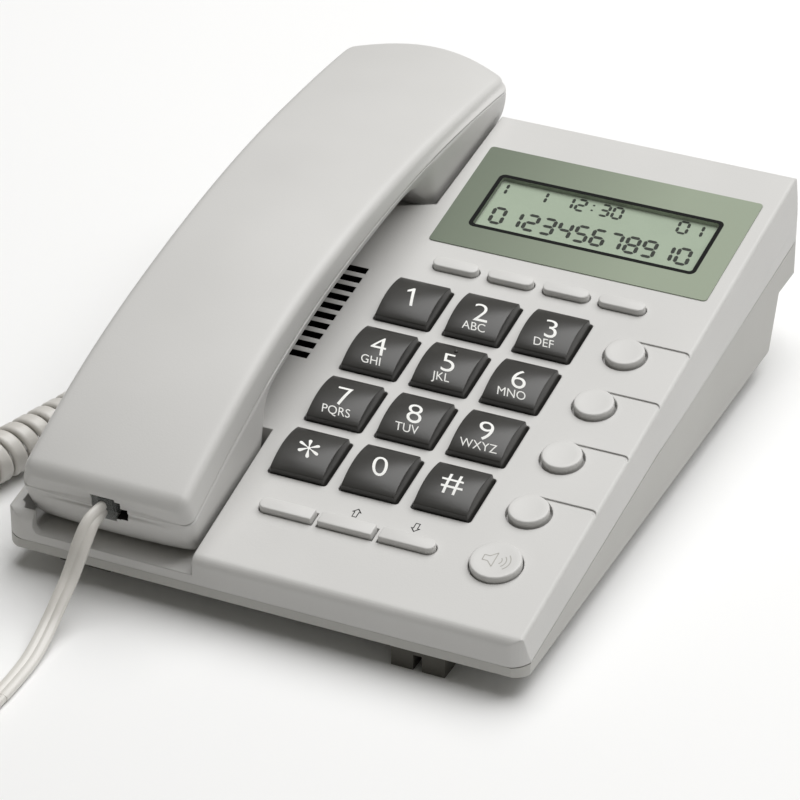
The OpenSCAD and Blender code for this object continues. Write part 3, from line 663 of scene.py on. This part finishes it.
def back_section(v):
    """Half section of the back shell, from the seam's middle over the back's middle."""
    w, s, top = half_width(v), seam_n(v), back_n(v)
    radius = min(3.2, (top - s) * 0.6)
    crown = min(1, (top - s) * 0.2)
    inward = lookup(v, LEAN) * min(1, (top - s) / 4)
    tight = min(0.25, (top - s) * 0.1)
    half = [(w * 0.5, s), (w - tight, s), (w, s + tight)]
    for k in range(5):
        angle = math.radians(22.5 * k)
        half.append((w - inward - radius * (1 - math.cos(angle)),
                     top - crown - radius * (1 - math.sin(angle))))
    return half + [((w - radius) * 0.5, top - 0.3 * crown), (0, top)]


def front_section(v):
    """Half section of the front shell, from the seam's middle round the underside."""
    w, s, b = half_width(v), seam_n(v), lookup(v, TUCK)
    height = s - lookup(v, UNDERSIDE)
    tight = min(0.25, height * 0.1)
    return [
        (w * 0.5, s), (w - tight, s), (w, s - tight), (w - 0.1 * b, s - 0.35 * height),
        (w - 0.35 * b, s - 0.7 * height), (w - 0.75 * b, s - 0.93 * height),
        (w - 1.3 * b, s - height), ((w - b) * 0.5, s - height), (0, s - height),
    ]


def shell_ring(half, v, side):
    """The full ring at v, in metres on the flat panel, bowed at the handset's ends."""
    ring = [(side * x, n) for x, n in half] + [(-side * x, n) for x, n in half[-2::-1]]
    return [
        Vector((HS_U + x, v + bow(v) * (1 - (x / BOW_HALF_W) ** 2), n)) * MM for x, n in ring
    ]


# %% [markdown]
# The step-shaped hole in the front end takes the modular plug with its latch. Boxes cut it
# into both shells. Six pairs of round holes under the ear cup and three holes under the
# mouth cup let the sound through.

# %% Shells and their cut-outs
JACK_U = -48
JACK_N = 7.3
JACK_BOXES = [
    ((-3.7, -7, -4.1), (3.7, 3, 4.1)), ((3, -7, -2.9), (5.2, 3, 2.9)),
    ((5, -7, -2.6), (7.4, 3, 1)), ((-4.8, 2.4, -5.1), (5.4, 14.5, 5.1)),
]
SOUND_HOLE_D = 1.6
EAR_HOLES_V = 150
MOUTH_HOLES_V = -12


def box_cutter(low, high):
    """A box between two corners given in panel millimetres."""
    size = [(b - a) * MM for a, b in zip(low, high)]
    middle = [(a + b) / 2 * MM for a, b in zip(low, high)]
    bpy.ops.mesh.primitive_cube_add(size=1)
    cutter = bpy.context.object
    cutter.data.transform(Matrix.Translation(middle) @ Matrix.Diagonal((*size, 1)))
    return cutter


def hole_cutter(u, v, low, high):
    """An upright cylinder that cuts one sound hole."""
    bpy.ops.mesh.primitive_cylinder_add(
        vertices=20, radius=SOUND_HOLE_D / 2 * MM, depth=(high - low) * MM,
        location=(u * MM, v * MM, (low + high) / 2 * MM),
    )
    cutter = bpy.context.object
    bpy.ops.object.transform_apply(location=True, rotation=True, scale=True)
    return cutter


def cut_away(piece, cutters):
    """Cuts each cutter out of the piece and removes the cutter."""
    for cutter in cutters:
        cut = piece.modifiers.new("cut", "BOOLEAN")
        cut.object = cutter
        cut.solver = "EXACT"
        apply_modifier(piece, cut)
        bpy.data.objects.remove(cutter)


def jack_cutters():
    """The plug's opening, the two steps for its latch and the wider jack behind them."""
    place = (JACK_U, HS_FRONT, JACK_N)
    return [
        box_cutter([a + p for a, p in zip(low, place)], [b + p for b, p in zip(high, place)])
        for low, high in JACK_BOXES
    ]


def in_jack(middle):
    """Whether a face's middle, in millimetres, lies on a wall of the plug's opening."""
    u, v, n = middle
    deep_enough = HS_FRONT + 0.6 < v < HS_FRONT + 15
    return abs(u - JACK_U) < 7.6 and deep_enough and abs(n - JACK_N) < 5.3


def make_shell(name, section, side, cutters):
    """One shell from its half section. The side is the one where its rings start."""
    shell = skin(name, [shell_ring(section(v), v, side) for v in STATIONS])
    rounding = shell.modifiers.new("rounding", "SUBSURF")
    rounding.levels = 2
    rounding.render_levels = 2
    apply_modifier(shell, rounding)
    cut_away(shell, cutters)
    shade_smooth(shell, 35)
    paint(shell, shell_abs)
    # The walls of the plug's opening in the shell get the dark smoked plastic: painted shade,
    # standing in for the shadow inside the opening.
    shell.data.materials.append(smoked_pc_and_painted_shade)
    for face in shell.data.polygons:
        if in_jack(face.center / MM):
            face.material_index = 1
    on_panel(shell)
    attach(shell, "handset")
    return shell


sound_holes = []
for k in range(6):
    for d in (3, 7):
        across, along = d * math.cos(math.radians(60 * k)), d * math.sin(math.radians(60 * k))
        sound_holes.append(hole_cutter(HS_U + across, EAR_HOLES_V + along, -8, -2))
sound_holes += [hole_cutter(HS_U + d, MOUTH_HOLES_V, -14, -6) for d in (-4, 0, 4)]
handset_back = make_shell("handset_back", back_section, -1, jack_cutters())
handset_front = make_shell("handset_front", front_section, 1, jack_cutters() + sound_holes)
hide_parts("handset_back_shell")
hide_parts("handset_front_shell")
print("handset shells, faces:", len(handset_back.data.polygons), len(handset_front.data.polygons))

# %% [markdown]
# ## Dial keys
# Each key is a dark cap with a crowned top, sides that lean in a little and soft edges.
# It starts as a box. Cuts across it give rows of points that are raised to the crown, the
# top is drawn in, and a Bevel softens every edge. One cap is made and copied twelve times.

# %% One key cap
KEY_W = 17.6
KEY_D = 18.3
KEY_H = 4.0
CROWN_R = 22.0
KEY_ROOT = -3.6
KEY_DRAFT = 0.92
KEY_CUTS = [1.9 * k for k in range(-4, 5)]


def crown(v):
    """Height of the key's crowned top at v from its middle."""
    return KEY_H - CROWN_R + math.sqrt(CROWN_R ** 2 - v ** 2)


def select_points(piece, test):
    """Selects the vertices for which test is true, and their edges and faces."""
    only(piece)
    bpy.ops.object.mode_set(mode="EDIT")
    bpy.ops.mesh.select_mode(type="VERT")
    bpy.ops.mesh.select_all(action="DESELECT")
    bpy.ops.object.mode_set(mode="OBJECT")
    for vertex in piece.data.vertices:
        vertex.select = test(vertex.co / MM)
    bpy.ops.object.mode_set(mode="EDIT")


def slice_across(piece, places):
    """Cuts the mesh at each v, so that it can follow a curve."""
    only(piece)
    bpy.ops.object.mode_set(mode="EDIT")
    for v in places:
        bpy.ops.mesh.select_all(action="SELECT")
        bpy.ops.mesh.bisect(plane_co=(0, v * MM, 0), plane_no=(0, 1, 0))
    bpy.ops.object.mode_set(mode="OBJECT")


def soften(piece, width, segments, clamp):
    """Rounds every edge that is sharper than 40 degrees, by a width in millimetres."""
    softening = piece.modifiers.new("soft_edges", "BEVEL")
    softening.width = width * MM
    softening.segments = segments
    softening.angle_limit = math.radians(40)
    softening.use_clamp_overlap = clamp
    apply_modifier(piece, softening)


low_top = crown(KEY_D / 2)
cap = box_cutter((-KEY_W / 2, -KEY_D / 2, KEY_ROOT), (KEY_W / 2, KEY_D / 2, low_top))
cap.name = "key_cap"
slice_across(cap, KEY_CUTS)
for cut_v in KEY_CUTS:
    select_points(cap, lambda p, cut_v=cut_v: abs(p.y - cut_v) < 0.1 and p.z > 0)
    bpy.ops.transform.translate(value=(0, 0, (crown(cut_v) - low_top) * MM))
    bpy.ops.object.mode_set(mode="OBJECT")
select_points(cap, lambda p: p.z > 0)
bpy.ops.transform.resize(value=(KEY_DRAFT, 1, 1), center_override=(0, 0, 0))
bpy.ops.object.mode_set(mode="OBJECT")
soften(cap, 0.35, 3, True)
shade_smooth(cap, 25)
print("faces on a key cap:", len(cap.data.polygons))

# %% [markdown]
# The characters are pad-printed in white. Text is typed as a font object, turned into a
# mesh, sliced across so that it can bend, and laid just above the crown.

# %% Print on a crown
PRINT_LIFT = 0.03
# The font's capitals stand this share of its size tall.
CAP_SHARE = 0.682
PRINT_LEAN = math.radians(-16)


def typed(words, height, v, weight=0.0):
    """Flat leaning text, its capitals of a height in millimetres, centred at v."""
    bpy.ops.object.text_add()
    text = bpy.context.object
    text.data.body = words
    text.data.align_x = "CENTER"
    text.data.offset = weight
    text.data.resolution_u = 6
    bpy.ops.object.convert(target="MESH")
    text = bpy.context.object
    heights = [p.co.y for p in text.data.vertices]
    sides = [p.co.x for p in text.data.vertices]
    tall, middle = CAP_SHARE, CAP_SHARE / 2
    if not words.isalnum():
        tall = max(heights) - min(heights)
        middle = (max(heights) + min(heights)) / 2
    centred = Matrix.Translation((-(max(sides) + min(sides)) / 2, -middle, 0))
    leaned = Matrix.Identity(4)
    leaned[0][1] = math.tan(PRINT_LEAN)
    lay = Matrix.Translation((0, v * MM, 0)) @ leaned @ Matrix.Scale(height * MM / tall, 4)
    text.data.transform(lay @ centred)
    return text


def flat_shapes(name, shapes, lean=0.0, middle_v=0.0):
    """One flat mesh from closed outlines in panel millimetres."""
    points = []
    faces = []
    for shape in shapes:
        faces.append(list(range(len(points), len(points) + len(shape))))
        points += [((u + (v - middle_v) * math.tan(lean)) * MM, v * MM, 0) for u, v in shape]
    return new_piece(name, points, faces)


def bend_over_crown(text):
    """Slices flat text and lays its points on the key's crown."""
    slice_across(text, [k * 0.8 for k in range(-11, 12)])
    for point in text.data.vertices:
        point.co.z = (crown(point.co.y / MM) + PRINT_LIFT) * MM


# %% [markdown]
# The keys stand in four rows of three, the star at the front left. Every letter group is
# the common one that all telephone keypads carry.

# %% Twelve keys
FIRST_KEY = (-6.8, 9.15)
KEY_PITCH = (22.0, 23.6)
SIGN_H = 7.4
SIGN_V = -0.2
SIGN_HEIGHTS = {"*": 7.2, "#": 7.8}
LETTERS_H = 2.6
LETTERS_V = -5.9
DIGIT_WEIGHT = -0.007
PIP_R = 0.6
PIP_V = 5.2
ONE = [
    (0.45, 3.8), (0.45, -3.8), (-0.45, -3.8), (-0.45, 2.2), (-1.9, 1.5), (-1.9, 2.3),
    (-0.1, 3.8),
]
KEYPAD = [
    [("key_star", "*", ""), ("key_0", "0", ""), ("key_hash", "#", "")],
    [("key_7", "7", "PQRS"), ("key_8", "8", "TUV"), ("key_9", "9", "WXYZ")],
    [("key_4", "4", "GHI"), ("key_5", "5", "JKL"), ("key_6", "6", "MNO")],
    [("key_1", "1", ""), ("key_2", "2", "ABC"), ("key_3", "3", "DEF")],
]


def put_with(piece, node, u, v, n, material):
    """Lays a piece on the panel, paints it and lets it move with a CAD node's body."""
    on_panel(piece, u, v, n)
    paint(piece, material)
    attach(piece, node)
    return piece


for row, names in enumerate(KEYPAD):
    for column, (node, sign, letters) in enumerate(names):
        u = FIRST_KEY[0] + column * KEY_PITCH[0]
        v = FIRST_KEY[1] + row * KEY_PITCH[1]
        key = cap.copy()
        key.data = cap.data.copy()
        key.name = node + "_cap"
        bpy.context.scene.collection.objects.link(key)
        put_with(key, node, u, v, 0, key_abs)
        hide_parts(node)
        if sign == "1":  # The font's own is a bare bar, so this one has its flag drawn
            prints = [flat_shapes("one", [[(x, y + SIGN_V) for x, y in ONE]], PRINT_LEAN)]
        else:
            weight = DIGIT_WEIGHT if sign.isdigit() else 0
            prints = [typed(sign, SIGN_HEIGHTS.get(sign, SIGN_H), SIGN_V, weight)]
        if letters:
            prints.append(typed(letters, LETTERS_H, LETTERS_V))
        for part, text in zip(("sign", "letters"), prints):
            text.name = node + "_" + part
            bend_over_crown(text)
            put_with(text, node, u, v, 0, white_ink)
        if sign == "5":  # The raised pip that a finger finds in the dark
            bpy.ops.mesh.primitive_uv_sphere_add(segments=16, ring_count=8, radius=PIP_R * MM)
            pip = bpy.context.object
            pip.name = node + "_pip"
            pip.data.transform(Matrix.Translation((0, PIP_V * MM, crown(PIP_V) * MM)))
            put_with(pip, node, u, v, 0, key_abs)
bpy.data.objects.remove(cap)

# %% [markdown]
# ## Display
# The lens is one acrylic plate. It is made as two pieces, because its border is printed
# and its window is clear: the window is cut out of the border's plate, and a second plate
# fills it. Two cuts with boxes would leave sharp corners, so both come from one outline
# with round corners.

# %% Flat outlines with round corners
def plate(name, w, d, corner, thickness, round_at=lambda p: True):
    """A flat plate, its underside at zero, with round corners where round_at is true."""
    bpy.ops.mesh.primitive_plane_add(size=1)
    piece = bpy.context.object
    piece.name = name
    piece.data.transform(Matrix.Diagonal((w * MM, d * MM, 1, 1)))
    select_points(piece, round_at)
    bpy.ops.mesh.bevel(offset=corner * MM, segments=6, affect="VERTICES")
    if thickness:
        bpy.ops.mesh.select_all(action="SELECT")
        bpy.ops.mesh.extrude_region_move(
            TRANSFORM_OT_translate={"value": (0, 0, thickness * MM)}
        )
        bpy.ops.mesh.select_all(action="SELECT")
        bpy.ops.mesh.normals_make_consistent(inside=False)
    bpy.ops.object.mode_set(mode="OBJECT")
    return piece


def ring_plate(name, outer, inner, thickness):
    """A plate with a window. Each outline is its width, depth, corner and middle."""
    piece = plate(name, *outer[:3], thickness)
    piece.data.transform(Matrix.Translation((outer[3] * MM, outer[4] * MM, 0)))
    hole = plate("window_cut", *inner[:3], thickness + 2)
    hole.data.transform(Matrix.Translation((inner[3] * MM, inner[4] * MM, -1 * MM)))
    cut_away(piece, [hole])
    return piece


# Width, depth, corner radius and middle of the lens and of its clear window
LENS = (88.6, 48.1, 1.2, 28.8, 134.15)
WINDOW = (70.2, 23.8, 1, 29.1, 133.2)
OUTLINE = (WINDOW[0] + 2.6, WINDOW[1] + 2.6, 2, WINDOW[3], WINDOW[4])
LENS_TOP = 0.3
LENS_T = 1.4
WINDOW_INSET = 0.05

lens_border = ring_plate("lens_border", LENS, WINDOW, LENS_T)
put_with(lens_border, "base", 0, 0, LENS_TOP - LENS_T, border_film)
lens_window = plate("lens_window", *WINDOW[:3], LENS_T - 2 * WINDOW_INSET)
window_under = LENS_TOP - LENS_T + WINDOW_INSET
put_with(lens_window, "base", WINDOW[3], WINDOW[4], window_under, window_acrylic)
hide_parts("display_lens")
outline = ring_plate("screen_outline", OUTLINE, WINDOW, 0.05)
put_with(outline, "base", 0, 0, LENS_TOP, black_ink)

# %% [markdown]
# Behind the lens the liquid crystal's glass fills the cover's opening. It is a wide plate
# with a smaller one on top, joined to one piece.

# %% Liquid crystal glass
GLASS_UNDER = -4.7
GLASS_TOP = -1.2

glass = plate("lcd_glass", 74, 29, 0.5, 2.2)
glass_top = plate("glass_top", 69.8, 23.7, 1, GLASS_TOP - GLASS_UNDER)
only(glass)
glass_top.select_set(True)
bpy.ops.object.join()
put_with(glass, "base", 29, 133.3, GLASS_UNDER, crystal_film)
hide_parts("lcd_panel")

# %% [markdown]
# The digits are made of seven segments each. A segment is a thin bar with pointed ends,
# and a table says which segments each digit lights. The upper row is smaller and has a
# colon.

# %% Seven-segment digits
LIT = {
    "0": "abcdef", "1": "bc", "2": "abged", "3": "abgcd", "4": "fgbc",
    "5": "afgcd", "6": "afgecd", "7": "abc", "8": "abcdefg", "9": "abcdfg",
}
SEGMENT_PLACES = {
    "a": (0, 1, 0), "g": (0, 0, 0), "d": (0, -1, 0),
    "b": (0.5, 0.5, 1), "c": (0.5, -0.5, 1), "f": (-0.5, 0.5, 1), "e": (-0.5, -0.5, 1),
}


def digit_outlines(sign, u, v, w, h, stroke):
    """Outlines of a digit's lit segments, w by h millimetres, round u and v."""
    shapes = []
    for letter in LIT[sign]:
        x, y, upright = SEGMENT_PLACES[letter]
        reach = (h / 4 if upright else w / 2) - 0.12 * stroke
        half = stroke / 2
        bar = [(-reach, 0), (half - reach, half), (reach - half, half),
               (reach, 0), (reach - half, -half), (half - reach, -half)]
        if upright:
            bar = [(-b, a) for a, b in bar]
        shapes.append([(u + x * w + a, v + y * h / 2 + b) for a, b in bar])
    return shapes


UPPER_V = 141.6
UPPER_STROKE = 0.95
# Each group: its digits, u of the first one, their pitch, width and height
UPPER_GROUPS = [
    ("1", -4.2, 4, 2.4, 5.0), ("1", 8.8, 4, 2.4, 5.0), ("12", 17.2, 4.1, 2.7, 5.1),
    ("30", 29.0, 4.1, 2.7, 5.1), ("01", 54.2, 4.6, 2.9, 5.3),
]
LOWER_V = 128.8
LOWER_STROKE = 1.2
COLON_U = (24.8, 25.5)
COLON_V = (140.4, 142.8)
DOT_HALF = 0.35
DIGIT_LEAN = math.radians(-4)


def number_row(signs, first_u, v, pitch, w, h, stroke):
    shapes = []
    for k, sign in enumerate(signs):
        shapes += digit_outlines(sign, first_u + k * pitch, v, w, h, stroke)
    return shapes


lcd_shapes = number_row("012345678910", -1.4, LOWER_V, 5.42, 3.6, 7.0, LOWER_STROKE)
for signs, first_u, pitch, w, h in UPPER_GROUPS:
    lcd_shapes += number_row(signs, first_u, UPPER_V, pitch, w, h, UPPER_STROKE)
for dot_v in COLON_V:
    left, right = COLON_U
    low, high = dot_v - DOT_HALF, dot_v + DOT_HALF
    lcd_shapes.append([(left, low), (right, low), (right, high), (left, high)])
lcd_digits = flat_shapes("lcd_digits", lcd_shapes, DIGIT_LEAN, 135)
put_with(lcd_digits, "base", 0, 0, GLASS_TOP + PRINT_LIFT, segment_ink)

# %% [markdown]
# ## Small buttons
# The light buttons are moulded ABS caps with a generous round edge, and a flange under the
# panel that keeps each from falling out. A cap is a flat outline extruded to its height,
# a Bevel rounds its edges, and the round caps get a shallow dish by an inset.

# %% Caps with a flange
BUTTON_H = 2
FLANGE_T = 1.2
FLANGE_UNDER = -3.7
CAP_T = BUTTON_H - FLANGE_UNDER
DISH = 0.15
DISH_RIM = 1.3


def disc(diameter, thickness):
    """A round plate with its underside at zero."""
    bpy.ops.mesh.primitive_cylinder_add(
        vertices=64, radius=diameter / 2 * MM, depth=thickness * MM,
        location=(0, 0, thickness / 2 * MM),
    )
    piece = bpy.context.object
    bpy.ops.object.transform_apply(location=True, rotation=True, scale=True)
    return piece


def soft_button(node, u, v, cap, flange, edge, dish=0.0):
    """Rounds a cap's edges, joins its flange to it and lets it stand for a CAD button."""
    cap.name = node + "_cap"
    soften(cap, edge, 4, False)
    if dish:
        select_points(cap, lambda p: p.z > CAP_T - 0.01)
        bpy.ops.mesh.inset(thickness=DISH_RIM * MM)
        bpy.ops.transform.translate(value=(0, 0, -dish * MM))
        bpy.ops.object.mode_set(mode="OBJECT")
    only(cap)
    flange.select_set(True)
    bpy.ops.object.join()
    shade_smooth(cap, 35)
    put_with(cap, node, u, v, FLANGE_UNDER, button_abs)
    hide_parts(node)


# %% [markdown]
# Four pill-shaped buttons lie below the display, four round ones and the larger
# speakerphone button stand on the right, and a row of three bars closes the keypad at the
# front. Only the row's outer ends are round.

# %% Pills, rounds and bars
PILL_V = 99.8
PILL_ROW = [
    ("set_button", -1.8), ("contrast_button", 15.8), ("timer_button", 33.4),
    ("delete_button", 51),
]
ROUND_U = 60
ROUND_COLUMN = [
    ("prefix_button", 79.6), ("pause_button", 56.2), ("flash_button", 32.6),
    ("redial_button", 8.9),
]
SPEAKER_U = 59.6
SPEAKER_V = -13.1
BAR_V = -13.5
BAR_ROW = [("outgoing_button", -3.2, -1), ("up_button", 15.2, 0), ("down_button", 33.6, 1)]

for node, u in PILL_ROW:
    cap = plate("cap", 14.4, 4.4, 2.1, CAP_T)
    soft_button(node, u, PILL_V, cap, plate("flange", 16, 6, 2.9, FLANGE_T), 0.5)
for node, v in ROUND_COLUMN:
    cap = disc(11.6, CAP_T)
    soft_button(node, ROUND_U, v, cap, disc(14.4, FLANGE_T), 0.55, DISH)
cap = disc(14.6, CAP_T)
soft_button("speaker_button", SPEAKER_U, SPEAKER_V, cap, disc(16.6, FLANGE_T), 0.6, DISH)
for node, u, outer_end in BAR_ROW:
    if outer_end:
        cap = plate("cap", 16.4, 4.5, 2.15, CAP_T, lambda p, end=outer_end: p.x * end > 0)
    else:
        cap = box_cutter((-8.2, -2.25, 0), (8.2, 2.25, CAP_T))
    flange = box_cutter((-8.8, -3.05, 0), (8.8, 3.05, FLANGE_T))
    soft_button(node, u, BAR_V, cap, flange, 0.45)
print("small buttons:", len(PILL_ROW) + len(ROUND_COLUMN) + 1 + len(BAR_ROW))

# %% [markdown]
# ## Panel print
# Above two of the bar buttons the panel carries a hollow arrow, one up and one down. It
# is a thin printed line, so it is drawn as an outline with a smaller outline inside.

# %% Hollow arrows
ARROW_OUTER = [
    (0, 1.8), (1.5, 0.2), (0.75, 0.2), (0.75, -1.8), (-0.75, -1.8), (-0.75, 0.2), (-1.5, 0.2),
]
ARROW_INNER = [
    (0, 1.35), (0.85, 0.45), (0.48, 0.45), (0.48, -1.53), (-0.48, -1.53), (-0.48, 0.45),
    (-0.85, 0.45),
]


def arrow(name, u, v, up):
    """A hollow arrow, 3.6 mm long, that points up the panel for 1 and down it for -1."""
    outer = [(u + x, v + up * y) for x, y in ARROW_OUTER]
    inner = [(u + x, v + up * y) for x, y in ARROW_INNER]
    shapes = []
    for k in range(len(outer)):
        after = (k + 1) % len(outer)
        shapes.append([outer[k], outer[after], inner[after], inner[k]])
    mark = flat_shapes(name, shapes)
    return put_with(mark, "base", 0, 0, PRINT_LIFT, black_ink)


arrow("arrow_up", 15.0, -7.1, 1)
arrow("arrow_down", 33.0, -7.0, -1)

# %% [markdown]
# The speakerphone button has a loudspeaker mark pressed into its dished top. It is drawn with
# thin lines a little darker than the cap, painted shade for the pressed lines' shadow: a box
# with its horn, and three arcs.

# %% Loudspeaker mark
MARK_LINE = 0.28
HORN = [
    (-3.6, -1.0), (-3.6, 1.0), (-2.0, 1.0), (-0.2, 2.8), (-0.2, -2.8), (-2.0, -1.0),
    (-3.6, -1.0),
]


def thin_line(points, width):
    """Outlines of a thin line through points, one four-sided shape for each stretch."""
    shapes = []
    for (u0, v0), (u1, v1) in zip(points, points[1:]):
        length = math.hypot(u1 - u0, v1 - v0)
        du, dv = (v1 - v0) / length * width / 2, -(u1 - u0) / length * width / 2
        one_side = [(u0 + du, v0 + dv), (u1 + du, v1 + dv)]
        shapes.append(one_side + [(u1 - du, v1 - dv), (u0 - du, v0 - dv)])
    return shapes


def arc_points(u, v, radius, spread):
    """Nine points of an arc round u and v that opens to the right."""
    angles = [math.radians(spread * (k / 8 - 0.5)) for k in range(9)]
    return [(u + radius * math.cos(a), v + radius * math.sin(a)) for a in angles]


mark_shapes = thin_line(HORN, MARK_LINE)
for radius in (1.6, 2.8, 4.0):
    mark_shapes += thin_line(arc_points(0.2, 0, radius, 90), MARK_LINE)
speaker_mark = flat_shapes("speaker_mark", mark_shapes)
mark_painted_shade = film_and_painted_shade("pressed_mark_shadow", "#B4B2AC", "#ABA9A3", 0.5, 2)
mark_n = BUTTON_H - DISH + PRINT_LIFT
put_with(speaker_mark, "speaker_button", SPEAKER_U, SPEAKER_V, mark_n, mark_painted_shade)

# %% [markdown]
# ## Floor and light
# The telephone stands on a wide sheet of white paper. A large soft light overhead, a
# little behind the object and to its right, brightens the panel and the keys' crowns, and
# a weak one from the right keeps the side wall from going dark.

# %% Floor, lights and surroundings
bpy.ops.mesh.primitive_plane_add(size=6, location=(0, 0, 0))
floor = bpy.context.object
floor.name = "studio_floor"
floor_paper = new_plain_material(
    "matte_white_paper", **{"Base Color": colour("#F2F2F2"), "Roughness": 0.9}
)
paint(floor, floor_paper)


def area_light(name, place, aim, size, power):
    """A square soft light at a place in metres that shines towards the aim."""
    bpy.ops.object.light_add(type="AREA", location=place)
    light = bpy.context.object
    light.name = name
    light.data.shape = "SQUARE"
    light.data.size = size
    light.data.energy = power
    direction = Vector(aim) - Vector(place)
    light.rotation_euler = direction.to_track_quat("-Z", "Y").to_euler()
    return light


area_light("overhead_softbox", (0.25, 0.5, 1.5), (0, 0, 0), 1.8, 36)
area_light("right_fill", (1.3, 0.1, 0.7), (0, 0, 0.02), 0.8, 0.7)
world = bpy.data.worlds.new("studio")
bpy.context.scene.world = world
world.use_nodes = True
background = world.node_tree.nodes["Background"]
background.inputs["Color"].default_value = colour("#F6F4EA")
background.inputs["Strength"].default_value = 0.15
bpy.context.scene.view_settings.view_transform = "Standard"
